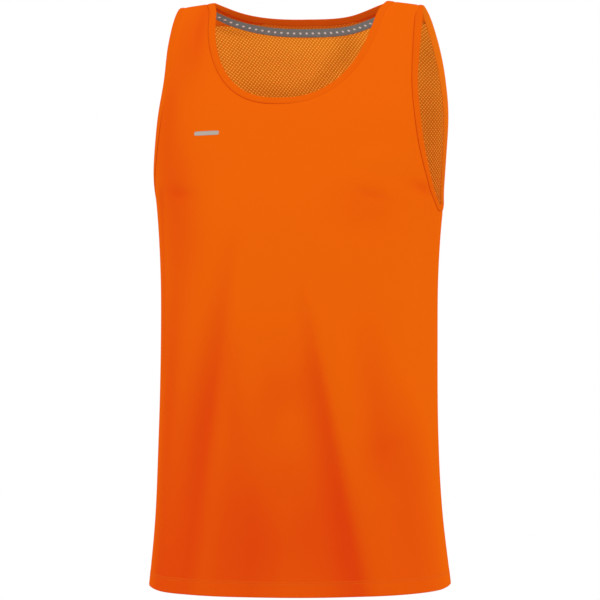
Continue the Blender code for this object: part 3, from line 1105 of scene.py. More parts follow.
    def seam_roll(self, share: np.ndarray, along: np.ndarray) -> np.ndarray:
        """How far the cloth rolls into its seams: a bell of the distance from the neck seam, the
        armhole seams and the side seams, and a small one at each row of hem stitches.

        Args:
            share: Share of each point.
            along: Cloth length of each point.

        Returns:
            Millimetres outwards, 0 or less.
        """
        behind = (1 - np.abs(share)) * FORM.quarter_length(along) * (along < 0)
        neck, armhole = (edge_distance(edge, share, along) for edge in (NECKLINE, ARMHOLE))
        ends = [FORM.along_at(LEVELS[-1].height, side) for side in Side]
        above_hem = np.where(along < 0, ends[1], ends[0]) - np.abs(along)
        rows = sum(bell((above_hem - row) / self.stitch_reach) for row in HEM_STITCH_ROWS)
        rolls = bell((behind - SIDE_WRAP) / self.seam_reach)
        for edge, away in ((NECKLINE, neck), (ARMHOLE, armhole)):
            rolls = rolls + seam_firmness(edge, share, along) * bell(away / self.seam_reach)
        return -self.seam_depth * rolls - self.stitch_depth * rows

    def seam_shade(self, share: np.ndarray, along: np.ndarray) -> np.ndarray:
        """Painted shadow along the overlocked edges behind the ridge, which turns the cloth deep
        red:
        bells of the distance from the neck seam, and on the back from the shoulder seam.

        Args:
            share: Share of each point.
            along: Cloth length of each point.

        Returns:
            Tone to add, up to 2.
        """
        neck = bell(edge_distance(NECKLINE, share, along) / self.neck_shade_reach)
        if self.side is Side.FRONT:
            return 2 * neck * (along < 0)
        shares, lengths = np.hstack(shoulder_seam_ends())
        seam = np.interp(np.abs(share), shares, lengths)
        return 2 * np.maximum(neck, bell((along - seam) / self.shoulder_shade_reach))

    def add_patch(
        self,
        sheet: Sheet,
        share: np.ndarray,
        along: np.ndarray,
        thick: np.ndarray | float = 0.0,
        place: np.ndarray | None = None,
        flip: bool = False,
    ) -> None:
        """Adds a patch of the panel to its sheet, rolled into the seams, with the turned hem
        thickened mostly inwards.

        Args:
            sheet: The panel's sheet.
            share: Share of each point.
            along: Cloth length of each point.
            thick: Extra thickness of each point.
            place: Pattern place of each point, or none for its own place in the flat cloth.
            flip: Whether the patch is the other flank's, with its faces turned over.
        """
        out = self.seam_roll(share, along) - self.hem_inwards * thick
        if place is None:
            stretched = share * (1 - self.stretch * share**2) if self.side is Side.BACK else share
            place = np.stack([stretched * FORM.quarter_length(along), along], axis=-1) * MM
        # Painted crease shade, weaker on the turned hem, which catches more light, and the painted
        # shadow along the seams.
        tone = FORM.tone(share, along) * (1 - self.hem_lighter * thick)
        tone = tone + self.seam_shade(share, along)
        turned = flip != (self.side is Side.BACK)
        shade = FORM.lining_shade(share, along) if self.side is Side.BACK else 0.0
        points = FORM.point(share, along, out)
        sheet.add(points, place, tone, thick, flip=turned, shade=shade)

    def build(
        self, name: str, slot: str, outside: SmoothKnit | MeshKnit, inside: SmoothKnit | MeshKnit
    ) -> bpy.types.Object:
        """Builds and dresses the panel.

        Args:
            name: The piece's name.
            slot: The record's material slot.
            outside: The finish of its outer face.
            inside: The finish of its inner face.

        Returns:
            The panel.
        """
        sheet = Sheet()
        share, along = self.fan()
        self.add_patch(sheet, *self.collar())
        self.add_patch(sheet, share, along)
        self.add_patch(sheet, -share, along, flip=True)
        self.add_patch(sheet, *self.body())
        if self.side is Side.FRONT:
            share, along, thick, place = self.side_strip()
            self.add_patch(sheet, share, along, thick, place)
            self.add_patch(sheet, -share, along, thick, place * (-1, 1), flip=True)
        piece = sheet.to_object(name)
        add_wall(piece, self.wall, self.hem_wall)
        finish_piece(piece, slot, outside.material(), name.replace("_cloth", ""))
        piece.data.materials.append(inside.material())
        piece.modifiers["wall"].material_offset = 1
        return piece


def blend_rows(
    first: tuple[np.ndarray, np.ndarray],
    last: tuple[np.ndarray, np.ndarray],
    parts: np.ndarray,
) -> tuple[np.ndarray, np.ndarray]:
    """Straight rows between two lines of (share, along): a + (b - a) part.

    Args:
        first: The line at part 0.
        last: The line at part 1.
        parts: Parts of the way.

    Returns:
        Grids of share and along, a column for each part.
    """
    share, along = (a[:, None] + (b - a)[:, None] * parts for a, b in zip(first, last))
    return share, along


def shoulder_seam_ends() -> list[np.ndarray]:
    """Where the wearer's left shoulder seam meets the neck seam and the armhole seam. It runs
    straight between them in the flat cloth.

    Returns:
        Share and along of each of the two places.
    """
    ends = []
    for edge in (NECKLINE, ARMHOLE):
        turn = np.array([edge.seam_turn(BINDING_WIDTH, 0)])
        ends.append(np.array(edge.curve(turn, BINDING_WIDTH)))
    return ends


SOFT_NECK = (0.75, -25.0, 75.0)  # how soft, from where across, and over how far
SOFT_ARMHOLE_STARTS = {Flank.LEFT: 5.0, Flank.RIGHT: 120.0}
SOFT_ARMHOLE_REACHES = {Flank.LEFT: 30.0, Flank.RIGHT: 70.0}


def seam_firmness(edge: RoundedEdge, share: np.ndarray, along: np.ndarray) -> np.ndarray:
    """How firmly an edge's seam is drawn in, from 0 to 1. At the back it is fully. In front the
    neck seam is soft on the wearer's left. The armhole seams are soft at the top: for a little
    way on the wearer's left, and down to the chest on the right.

    Args:
        edge: The neckline or the armhole.
        share: Share of each point.
        along: Cloth length of each point.

    Returns:
        Firmness at each point.
    """
    if edge is NECKLINE:
        most, first, reach = SOFT_NECK
        soft = most * smoothstep((share * FORM.quarter_length(along) - first) / reach)
    else:
        start, reach = (
            np.where(share > 0, row[Flank.LEFT], row[Flank.RIGHT])
            for row in (SOFT_ARMHOLE_STARTS, SOFT_ARMHOLE_REACHES)
        )
        soft = smoothstep(1 - (along - start) / reach)
    return 1 - soft * (along > 0)


def edge_distance(edge: RoundedEdge, share: np.ndarray, along: np.ndarray) -> np.ndarray:
    """Distance of the cloth outside an edge's seam, near it: (a/w)^p + (s/d)^q - 1, divided by
    the length of its gradient.

    Args:
        edge: The neckline or the armhole.
        share: Share of each point.
        along: Cloth length of each point.

    Returns:
        Millimetres, 0 at the seam.
    """
    part = 1 - np.abs(share) if edge.from_side else np.abs(share)
    aside = np.maximum(part * FORM.quarter_length(along) - edge.flared(along), 0)
    front = along >= 0
    p, q = (np.where(front, power, edge.back_squareness) for power in edge.front_powers)
    drop = np.where(front, edge.front_drop, edge.back_drop) + BINDING_WIDTH
    rise = np.sign(along) * np.clip(np.abs(along) / drop, 0, 1) ** (q / 2)
    narrower = BINDING_WIDTH * edge.narrower(rise)
    width, drop = edge.width + BINDING_WIDTH - narrower, drop - narrower
    part, fall = aside / width, np.abs(along) / drop
    slope = np.hypot(p * part ** (p - 1) / width, q * fall ** (q - 1) / drop)
    return np.maximum(part**p + fall**q - 1, 0) / np.maximum(slope, 1e-6)


# ---------------------------------------------------------------- bindings and tape


@dataclass(frozen=True)
class Binding:
    """A folded strip round an edge, one ring: a flat rounded section carried round the edge."""

    edge: RoundedEdge
    flank: Flank | None = None
    wall: float = 1.9
    squareness: float = 3.6
    turns_round: int = 420
    section_points: int = 28
    seam_pinch: float = 0.35
    soft_pinch: float = 0.2
    pucker: float = 0.07
    pucker_length: float = 7.0
    pucker_ratios: tuple[float, float] = (0.37, 1.71)
    seam_line: float = 1.1
    ridge_reach: float = 30.0
    inner_share: float = 0.4
    inner_shade: float = 0.0
    inner_light: float = 1.0
    outer_tone: float = 0.05
    seam_tone: float = 0.95

    def ring(self) -> np.ndarray:
        """Turns all the way round: once, or for the neckline half way, to be mirrored."""
        return self.edge.even_turns(0, -90, 90, self.turns_round)

    def section(self) -> tuple[np.ndarray, np.ndarray, np.ndarray]:
        """The strip's section as a superellipse, pinched at the seam: o = w/2 (1 + cos^p) and
        h = t/2 sin^p.

        Returns:
            Offset from the finished edge, height above the cloth, and running length.
        """
        angle = np.linspace(0, 2 * np.pi, self.section_points, endpoint=False)
        power = 2 / self.squareness
        c, s = np.cos(angle), np.sin(angle)
        half = (BINDING_WIDTH - SEAM_GAP) / 2
        offset = half * (1 + np.sign(c) * np.abs(c) ** power)
        pinch = 1 - self.seam_pinch * smoothstep((offset / half - 1.2) / 0.8)
        height = self.wall / 2 * np.sign(s) * np.abs(s) ** power * pinch
        around = np.hypot(np.diff(offset, append=offset[0]), np.diff(height, append=height[0]))
        return offset, height, np.concatenate([[0.0], np.cumsum(around[:-1])])

    def build(self, name: str, material: bpy.types.Material) -> bpy.types.Object:
        """Builds and dresses the strip. It puckers a little along its seam: a slow and a quick
        sine of its length.

        Args:
            name: The piece's name.
            material: The finish.

        Returns:
            The strip.
        """
        offset, height, around = self.section()
        turns = self.ring()
        if self.flank is None:
            turns = np.concatenate([turns, turns[-2:0:-1]])
        else:
            turns = turns[:-1]
        pairs = [self.edge.curve(turns, o) for o in offset]
        share = np.stack([pair[0] for pair in pairs], axis=1)
        along = np.stack([pair[1] for pair in pairs], axis=1)
        if self.flank is None:
            share[self.turns_round + 1 :] *= -1
        else:
            share *= self.flank.value
        middle = FORM.smooth_point(share[:, 0], along[:, 0])
        length = run_lengths(middle)[:, None]
        wave = 2 * np.pi * length / self.pucker_length
        slow, quick = self.pucker_ratios
        ripple = np.sin(wave) * np.sin(slow * wave) + 0.5 * np.sin(quick * wave + 1)
        firm = seam_firmness(self.edge, share, along)
        flush = 1 - self.soft_pinch * (1 - firm) * smoothstep(offset / BINDING_WIDTH * 2 - 1)
        out = height * flush
        out = out + self.pucker * ripple * np.sign(height) * (offset / BINDING_WIDTH) ** 2 * firm
        place = np.stack(np.broadcast_arrays(length, around), axis=-1) * MM
        # Painted shade on the inner face behind the neck ridge, the outer faces a little deeper,
        # and a line of painted shade in the seam's groove, where the seam is drawn in.
        inner = np.where(height < 0, self.inner_shade, self.outer_tone) * np.where(
            self.edge is NECKLINE, smoothstep(-along / self.ridge_reach), self.inner_share
        )
        tone = inner + self.seam_tone * firm * bell((offset - BINDING_WIDTH) / self.seam_line)
        sheet = Sheet()
        points = FORM.point(share, along, out)
        tone = np.broadcast_to(tone, share.shape)
        # The thick attribute of a strip carries the painted glow of its inner face, for the light
        # that comes through the cloth.
        sheet.add(points, place, tone, self.inner_light * (height < 0), closed=(True, True))
        piece = sheet.to_object(name)
        return finish_piece(piece, "binding_knit", material, name.replace("_strip", ""))


TAPE_DRIFT = {Flank.RIGHT: 3.6, Flank.LEFT: -1.0}
TAPE_DRIFT_TURN = 25.0


def back_neck_line(offset: float, steps: int) -> tuple[np.ndarray, np.ndarray]:
    """A line round the back neck, from the ridge on the wearer's right to that on the left. At
    each end it drifts away from the neckline by a bell of the turn.

    Args:
        offset: Millimetres outside the finished edge.
        steps: How many lengths each half has.

    Returns:
        Share and along.
    """
    turns = NECKLINE.even_turns(offset, 0, -90, steps)
    away = bell(turns / TAPE_DRIFT_TURN)
    right, left = (NECKLINE.curve(turns, offset + TAPE_DRIFT[f] * away) for f in TAPE_DRIFT)
    share = np.append(-right[0], left[0][-2::-1])
    return share, np.append(right[1], left[1][-2::-1])


@dataclass(frozen=True)
class NeckTape:
    """The narrow tape inside the back neck, from ridge to ridge."""

    wall: float = 0.7
    first: float = BINDING_WIDTH + 3.0
    last: float = BINDING_WIDTH + 14.2
    inwards: float = 1.15
    curl: float = 0.18
    rows: int = 12
    columns: int = 220

    def build(self, material: bpy.types.Material) -> bpy.types.Object:
        """Builds and dresses the tape: rows at offsets of the neckline, laid inwards.

        Args:
            material: The finish.

        Returns:
            The tape.
        """
        offsets = np.linspace(self.first, self.last, self.rows)
        pairs = [back_neck_line(offset, self.columns) for offset in offsets]
        share = np.stack([pair[0] for pair in pairs], axis=1)
        along = np.stack([pair[1] for pair in pairs], axis=1)
        curl = self.curl * np.abs(np.linspace(-1, 1, self.rows)) ** 4
        points = FORM.point(share, along, -self.inwards + curl + np.zeros_like(share))
        length = run_lengths(FORM.smooth_point(share[:, 0], along[:, 0]))[:, None]
        across = (offsets - self.first)[None, :]
        place = np.stack(np.broadcast_arrays(length, across), axis=-1) * MM
        sheet = Sheet()
        sheet.add(points, place, np.zeros(share.shape))
        piece = sheet.to_object("neck_tape_weave")
        add_wall(piece, self.wall)
        return finish_piece(piece, "neck_tape_weave", material, "neck_tape")


# ---------------------------------------------------------------- stitches


@dataclass(frozen=True)
class StitchRow:
    """A row of stitches along a line on the cloth. Each is a small spindle of thread."""

    pitch: float = 3.0
    length: float = 2.3
    thread: float = 0.45
    slant: float = 0.0
    lift: float = 0.12
    SIDES = 6
    RINGS = (
        (-0.5, 0.25, -0.9),
        (-0.38, 0.85, 0.0),
        (0.0, 1.0, 0.55),
        (0.38, 0.85, 0.0),
        (0.5, 0.25, -0.9),
    )

    def add(self, sheet: Sheet, share: np.ndarray, along: np.ndarray, out: float) -> None:
        """Adds the row's stitches to a sheet of thread: the spindle's rings, carried to even
        places of the line and turned by its direction and the cloth's normal.

        Args:
            sheet: Takes the stitches.
            share: Shares of the line's points, close together.
            along: Cloth lengths of the line's points.
            out: Height of the cloth's face above its middle, below 0 for the inner face.
        """
        line = FORM.smooth_point(share, along)
        length = run_lengths(line)
        count = max(int(length[-1] / self.pitch), 1)
        middle = (np.arange(count) + 0.5) * length[-1] / count
        at = [np.interp(middle, length, values) for values in (share, along)]
        ahead = [np.interp(middle + 0.4, length, values) for values in (share, along)]
        centre = FORM.point(*at, out + math.copysign(self.lift, out))
        forward = unit(FORM.point(*ahead, out + math.copysign(self.lift, out)) - centre)
        normal = FORM.normal(*at) * math.copysign(1, out)
        sideways = np.cross(normal, forward)
        turn = np.radians(self.slant) * np.where(np.arange(count) % 2, 1, -1)[:, None]
        forward, sideways = (
            np.cos(turn) * forward + np.sin(turn) * sideways,
            np.cos(turn) * sideways - np.sin(turn) * forward,
        )
        rings = np.array(self.RINGS)
        angle = np.linspace(0, 2 * np.pi, self.SIDES, endpoint=False)
        radius = self.thread / 2 * rings[:, 1:2]
        u = np.broadcast_to(rings[:, :1] * self.length, (len(rings), self.SIDES))
        v = radius * np.cos(angle)
        w = radius * np.sin(angle) + rings[:, 2:3] * self.thread / 2
        axes = np.stack([forward, sideways, normal], axis=1)
        points = centre[:, None, None] + np.stack([u, v, w], axis=-1) @ axes[:, None] * MM
        index = np.arange(len(rings) * self.SIDES).reshape(len(rings), self.SIDES)
        ring = np.concatenate([index, index[:, :1]], axis=1)
        sides = np.stack([ring[:-1, :-1], ring[:-1, 1:], ring[1:, 1:], ring[1:, :-1]], axis=-1)
        local = sides.reshape(-1, 4)
        starts = sheet.count + np.arange(count) * index.size
        sheet.faces.append((starts[:, None, None] + local).reshape(-1, 4))
        first, last = index[0], index[-1]
        caps = np.stack([first[[3, 2, 1, 0]], first[[5, 4, 3, 0]], last[:4], last[[0, 3, 4, 5]]])
        sheet.faces.append((starts[:, None, None] + caps).reshape(-1, 4))
        flat = points.reshape(-1, 3)
        place = np.stack([u, v], axis=-1)[None] * MM
        sheet.points.append(flat)
        sheet.places.append(np.broadcast_to(place, points.shape[:-1] + (2,)).reshape(-1, 2))
        sheet.tones.append(np.zeros(len(flat)))
        sheet.thickness.append(np.zeros(len(flat)))
        sheet.shades.append(np.zeros(len(flat)))
        sheet.count += len(flat)


@dataclass(frozen=True)
class Threads:
    """All the stitching: the twin rows of the hem, the rows along the neck tape, and the
    overlocked shoulder and side seams on the inside."""

    straight: StitchRow = StitchRow()
    tape_row: StitchRow = StitchRow(pitch=3.1, length=1.9, thread=0.55, slant=16)
    zigzag: StitchRow = StitchRow(pitch=1.5, length=2.9, thread=0.35, slant=52)
    outer_face: float = 0.5
    hem_face: float = 0.65
    hem_inner_face: float = -1.55
    tape_face: float = -1.5
    tape_offsets: tuple[float, float] = (BINDING_WIDTH + 2.4, BINDING_WIDTH + 14.5)
    hem_share: float = 0.997
    below_armhole: float = 3.0
    above_hem: float = 22.0
    step: int = 500
    shoulder_step: int = 200
    side_step: int = 400

    def hem(self) -> Sheet:
        """Twin rows outside and a zigzag inside, on the front and on the back.

        Returns:
            The stitches.
        """
        sheet = Sheet()
        for side in Side:
            end = FORM.along_at(LEVELS[-1].height, side)
            share = np.linspace(-self.hem_share, self.hem_share, self.step)
            for row in HEM_STITCH_ROWS:
                along = np.full(self.step, side.value * (end - row))
                self.straight.add(sheet, share, along, self.hem_face - 0.2)
            middle = np.full(self.step, side.value * (end - sum(HEM_STITCH_ROWS) / 2))
            self.zigzag.add(sheet, share, middle, self.hem_inner_face)
        return sheet

    def neck(self) -> Sheet:
        """A row along each edge of the tape, on the tape and on the outside of the cloth.

        Returns:
            The stitches.
        """
        sheet = Sheet()
        for offset in self.tape_offsets:
            share, along = back_neck_line(offset, self.step)
            for face in (self.tape_face, self.outer_face):
                self.tape_row.add(sheet, share, along, face)
        return sheet

    def seams(self) -> Sheet:
        """A zigzag inside over each shoulder seam and each side seam.

        Returns:
            The stitches.
        """
        sheet = Sheet()
        inner = -self.outer_face - 0.1
        for flank in Flank:
            parts = np.linspace(0.02, 0.98, self.shoulder_step)
            share, along = blend_rows(*shoulder_seam_ends(), parts)
            self.zigzag.add(sheet, share[0] * flank.value, along[0], inner)
            top = FORM.along_at(ARMPIT_HEIGHT, Side.BACK) + BINDING_WIDTH + self.below_armhole
            end = FORM.along_at(LEVELS[-1].height, Side.BACK) - self.above_hem
            line = -np.linspace(top, end, self.side_step)
            share = 1 - SIDE_WRAP / FORM.quarter_length(line)
            self.zigzag.add(sheet, share * flank.value, line, inner)
        return sheet

    def build(
        self, outside: bpy.types.Material, inside: bpy.types.Material
    ) -> list[bpy.types.Object]:
        """Builds and dresses the stitching.

        Args:
            outside: The finish of the hem's thread.
            inside: The finish of the thread of the tape and of the seams.

        Returns:
            The stitching of the hem, of the neck tape and of the seams.
        """
        sheets = {
            "hem_stitches": (self.hem(), "smooth_knit", outside),
            "neck_tape_stitches": (self.neck(), "binding_knit", inside),
            "seam_stitches": (self.seams(), "smooth_knit", inside),
        }
        return [
            finish_piece(sheet.to_object(name), slot, thread)
            for name, (sheet, slot, thread) in sheets.items()
        ]


@dataclass(frozen=True)
class ChestMark:
    """A plain reflective bar with round ends, pressed on the wearer's right chest."""

    across: float = -91.0
    height: float = -161.0
    half_length: float = 17.0
    half_width: float = 2.6
    roundness: float = 7.0
    face: float = 0.56
    film: float = 0.12
    steps: int = 60

    def build(self, material: bpy.types.Material) -> bpy.types.Object:
        """Builds and dresses the bar: y = v b (1 - |u|^p)^(1/p) for each u from end to end.

        Args:
            material: The film's finish.

        Returns:
            The bar.
        """
        angle = np.linspace(-np.pi / 2, np.pi / 2, self.steps + 1)
        u, v = np.meshgrid(np.sin(angle), np.linspace(-1, 1, 9), indexing="ij")
        rise = (1 - np.abs(u) ** self.roundness) ** (1 / self.roundness)
        across = self.across + self.half_length * u
        share, along = FORM.place(np.ravel(across), self.height, Side.FRONT)
        along = along.reshape(u.shape) + self.half_width * v * rise
        share = share.reshape(u.shape)
        place = np.stack([self.half_length * u, self.half_width * v * rise], axis=-1) * MM
        sheet = Sheet()
        sheet.add(FORM.point(share, along, self.face), place, np.zeros(u.shape))
        piece = sheet.to_object("chest_mark")
        add_wall(piece, self.film)
        return finish_piece(piece, "neck_tape_weave", material)


# ---------------------------------------------------------------- finishes


Colour = tuple[float, float, float]


class Socket:
    """A node's output, with arithmetic that adds Math nodes."""

    def __init__(self, board: Board, output: bpy.types.NodeSocket) -> None:
        """Keeps the output and the board that it is on."""
        self.board = board
        self.output = output

    def __add__(self, other: Value) -> Socket:
        """self + other."""
        return self.board.math("ADD", self, other)

    def __radd__(self, other: Value) -> Socket:
        """other + self."""
        return self.board.math("ADD", other, self)

    def __sub__(self, other: Value) -> Socket:
        """self - other."""
        return self.board.math("SUBTRACT", self, other)

    def __rsub__(self, other: Value) -> Socket:
        """other - self."""
        return self.board.math("SUBTRACT", other, self)

    def __mul__(self, other: Value) -> Socket:
        """self * other."""
        return self.board.math("MULTIPLY", self, other)

    def __rmul__(self, other: Value) -> Socket:
        """other * self."""
        return self.board.math("MULTIPLY", other, self)

    def __truediv__(self, other: Value) -> Socket:
        """self / other."""
        return self.board.math("DIVIDE", self, other)

    def __rtruediv__(self, other: Value) -> Socket:
        """other / self."""
        return self.board.math("DIVIDE", other, self)

    def __pow__(self, other: Value) -> Socket:
        """self ** other."""
        return self.board.math("POWER", self, other)

    def clamp(self) -> Socket:
        """The value held between 0 and 1."""
        return self.board.math("ADD", self, 0.0, clamp=True)

    def wave(self, length: float, shift: Value = 0.0) -> Socket:
        """A sine of the value, from 0 to 1, that repeats at each length."""
        turn = (self + shift) * (2 * math.pi / length)
        return self.board.math("SINE", turn) * 0.5 + 0.5

    def fold(self, length: float) -> Socket:
        """Distance from the nearest multiple of a length."""
        return self.board.math("PINGPONG", self, length / 2)


Value = Socket | float


class Board:
    """The nodes of one material."""

    def __init__(self, name: str) -> None:
        """Makes an empty material.

        Args:
            name: Its name.
        """
        self.material = bpy.data.materials.new(name)
        self.material.use_nodes = True
        self.tree = self.material.node_tree
        self.tree.nodes.clear()

    def node(
        self,
        kind: str,
        settings: Mapping[str, Any] | None = None,
        inputs: Mapping[str | int, Any] | None = None,
        output: str | int = 0,
    ) -> Socket:
        """Adds a node.

        Args:
            kind: Its type.
            settings: Its properties, which are set first.
            inputs: Values or links of its sockets, by name or number.
            output: The output that is wanted.

        Returns:
            That output.
        """
        made = self.tree.nodes.new(kind)
        for key, value in (settings or {}).items():
            setattr(made, key, value)
        for key, value in (inputs or {}).items():
            if isinstance(value, Socket):
                self.tree.links.new(value.output, made.inputs[key])
            else:
                made.inputs[key].default_value = value
        return Socket(self, made.outputs[output]) if len(made.outputs) else Socket(self, None)

    def math(self, operation: str, *values: Value, clamp: bool = False) -> Socket:
        """Adds a Math node."""
        settings = {"operation": operation, "use_clamp": clamp}
        return self.node("ShaderNodeMath", settings, dict(enumerate(values)))

    def blend(self, part: Value, first: Any, second: Any) -> Socket:
        """Mixes two colours, each a colour or a socket, by a part from 0 to 1.

        Args:
            part: How much of the second.
            first: A colour or a socket.
            second: A colour or a socket.

        Returns:
            The mixed colour.
        """
        first, second = (c if isinstance(c, Socket) else (*c, 1.0) for c in (first, second))
        settings = {"data_type": "RGBA", "clamp_factor": True}
        return self.node("ShaderNodeMix", settings, {0: part, 6: first, 7: second}, 2)

    def pattern(self) -> tuple[Socket, Socket]:
        """The two lengths of the pattern map, in millimetres.

        Returns:
            The first length and the second.
        """
        place = self.node("ShaderNodeUVMap", {"uv_map": "pattern"})
        parts = self.node("ShaderNodeSeparateXYZ", inputs={0: place})
        across = Socket(self, parts.output.node.outputs[0]) * 1000
        return across, Socket(self, parts.output.node.outputs[1]) * 1000

    def value(self, name: str) -> Socket:
        """A float attribute of the piece."""
        return self.node("ShaderNodeAttribute", {"attribute_name": name}, output="Fac")

    def noise(self, size: float, detail: float = 2.0) -> Socket:
        """Soft noise from 0 to 1 on Object coordinates, with patches about `size` mm wide.

        Args:
            size: Millimetres.
            detail: How many finer layers it has.

        Returns:
            The noise.
        """
        place = self.node("ShaderNodeTexCoord", output="Object")
        inputs = {"Vector": place, "Scale": 1000 / size, "Detail": detail}
        return self.node("ShaderNodeTexNoise", inputs=inputs)

    def bump(self, height: Socket, depth: float, strength: float = 1.0) -> Socket:
        """A normal bent by a height from 0 to 1 that is `depth` mm high."""
        inputs = {"Height": height, "Distance": depth * MM, "Strength": strength}
        return self.node("ShaderNodeBump", inputs=inputs)

    def finish(self, **inputs: Any) -> bpy.types.Material:
        """Ends the board in a Principled shader.

        Args:
            inputs: Its sockets, with _ for each space of their names.

        Returns:
            The material.
        """
        named = {key.replace("_", " "): value for key, value in inputs.items()}
        shader = self.node("ShaderNodeBsdfPrincipled", inputs=named)
        self.node("ShaderNodeOutputMaterial", inputs={"Surface": shader})
        return self.material


# The deep red of the painted shadow along the overlocked seams.
SEAM_SHADOW_RED: Colour = (0.56, 0.055, 0.005)
KNIT_SHINE = {
    "Sheen_Weight": 0.12,
    "Sheen_Roughness": 0.45,
    "Sheen_Tint": (1.0, 0.26, 0.01, 1.0),
    "Specular_IOR_Level": 0.0,
}


@dataclass(frozen=True)
class SmoothKnit:
    """Smooth interlock knit: fine upright wales, with painted shade that turns it from `lit` to
    `deep` by the tone, mostly in its hollows. `glow` is the light that comes through it to the
    inside, and
    `seam` the deep red of the painted shadow along its overlocked edges, where the tone rises to
    2."""

    name: str = "smooth_knit"
    glow: float = 0.0
    # `lit` is the colour in full light, `deep` that of the painted shade at a tone of 1.
    lit: Colour = (0.905, 0.138, 0.0030)
    deep: Colour = (0.80, 0.060, 0.0045)
    seam: Colour | None = None
    wale: float = 0.62
    course: float = 0.50
    relief: float = 0.05
    patch: float = 90.0
    patch_tone: float = 0.12

    def material(self) -> bpy.types.Material:
        """Makes the finish.

        Returns:
            The material.
        """
        board = Board(self.name)
        across, down = board.pattern()
        loops = across.wave(self.wale) * (down.wave(self.course) * 0.4 + 0.6)
        patches = board.noise(self.patch) - 0.5
        tone = board.value("tone") + patches * self.patch_tone + (1 - loops) * 0.05
        colour = board.blend(tone.clamp(), self.lit, self.deep)
        if self.seam:
            colour = board.blend((tone - 1).clamp(), colour, self.seam)
        return board.finish(
            Base_Color=colour,
            Roughness=0.62 + patches * 0.06,
            Normal=board.bump(loops, self.relief, 0.5),
            Emission_Color=colour,
            Emission_Strength=self.glow,
            **KNIT_SHINE,
        )


@dataclass(frozen=True)
class MeshKnit:
    """Open mesh knit: staggered small holes between raised cords. The holes aren't cut; `hole`
    is the colour that shows through them: painted light from behind on an inner face, and painted
    shade of the dark inside on the outer face. `glow` is the light that comes through the cloth.
    The cords turn `deep`, a painted shade, where the tone rises to 1, and the cloth takes the deep
    red of the painted shadow along its overlocked seams where it rises to 2. An inner face has
    `shaded` set, and adds its painted shade to the tone."""

    name: str
    cord: Colour
    deep: Colour
    hole: Colour
    seam: Colour | None = None
    across_pitch: float = 4.4
    down_pitch: float = 4.95
    shear: float = 0.05
    hole_size: float = 0.9
    softness: float = 0.7
    relief: float = 0.35
    glow: float = 0.0
    shaded: bool = False

    def holes(self, board: Board, across: Socket, down: Socket) -> Socket:
        """How much of a hole is at each place: 1 less the distance from the nearest point of
        either of two grids, half a pitch apart.

        Args:
            board: The material's board.
            across: The pattern's length across.
            down: The pattern's length down.

        Returns:
            1 in a hole and 0 on a cord.
        """
        near = []
        across = across + down * self.shear
        for shift in (0.0, 0.5):
            x = (across + shift * self.across_pitch + 2000).fold(self.across_pitch)
            y = (down + shift * self.down_pitch + 2000).fold(self.down_pitch)
            near.append(board.math("SQRT", x * x + y * y * 0.8))
        distance = board.math("MINIMUM", *near)
        return ((self.hole_size - distance) / self.softness + 0.5).clamp()

    def material(self) -> bpy.types.Material:
        """Makes the finish.

        Returns:
            The material.
        """
        board = Board(self.name)
        across, down = board.pattern()
        hole = self.holes(board, across, down)
        ply = (across + down * 0.5).wave(0.55) * 0.25
        tone = board.value("tone") + (board.noise(60.0) - 0.5) * 0.2
        if self.shaded:
            tone = tone + board.value("shade")
        cord = board.blend(tone.clamp(), self.cord, self.deep)
        # What shows through the holes darkens with the painted shade too.
        through = board.blend(tone.clamp() * 0.6, self.hole, self.deep)
        colour = board.blend(hole, cord, through)
        if self.seam:
            colour = board.blend((tone - 1).clamp(), colour, self.seam)
        return board.finish(
            Base_Color=colour,
            Roughness=0.66 + hole * 0.1,
            Normal=board.bump(1 - hole + ply, self.relief, 0.7),
            Emission_Color=board.blend(hole, tuple(0.3 * c for c in self.cord), through),
            Emission_Strength=self.glow,
            **KNIT_SHINE,
        )


@dataclass(frozen=True)
class BindingKnit:
    """Folded strips of the smooth knit, ribbed across, with painted shade from `lit` to `deep` by
    the
    tone: a line along their seams, and their inner faces behind the neck. `glow` is the light that
    comes through to their inner faces."""

    glow: float = 0.30
    through: Colour = (0.60, 0.34, 0.016)
    lit: Colour = (0.88, 0.130, 0.0030)
    deep: Colour = (0.60, 0.040, 0.0040)
    rib: float = 0.8
    relief: float = 0.06

    def material(self) -> bpy.types.Material:
        """Makes the finish.

        Returns:
            The material.
        """
        board = Board("binding_knit")
        along, around = board.pattern()
        ribs = along.wave(self.rib) * (around.wave(0.55) * 0.4 + 0.6)
        tone = board.value("tone") + (board.noise(25.0) - 0.5) * 0.12 + (1 - ribs) * 0.05
        colour = board.blend(tone.clamp(), self.lit, self.deep)
        return board.finish(
            Base_Color=colour,
            Roughness=0.6 + (1 - ribs) * 0.08,
            Normal=board.bump(ribs, self.relief, 0.5),
            # The glow is painted on the inner faces, where the thick attribute is set.
            Emission_Color=board.blend(board.value("thick"), (0.0, 0.0, 0.0), self.through),
            Emission_Strength=self.glow,
            **KNIT_SHINE,
        )


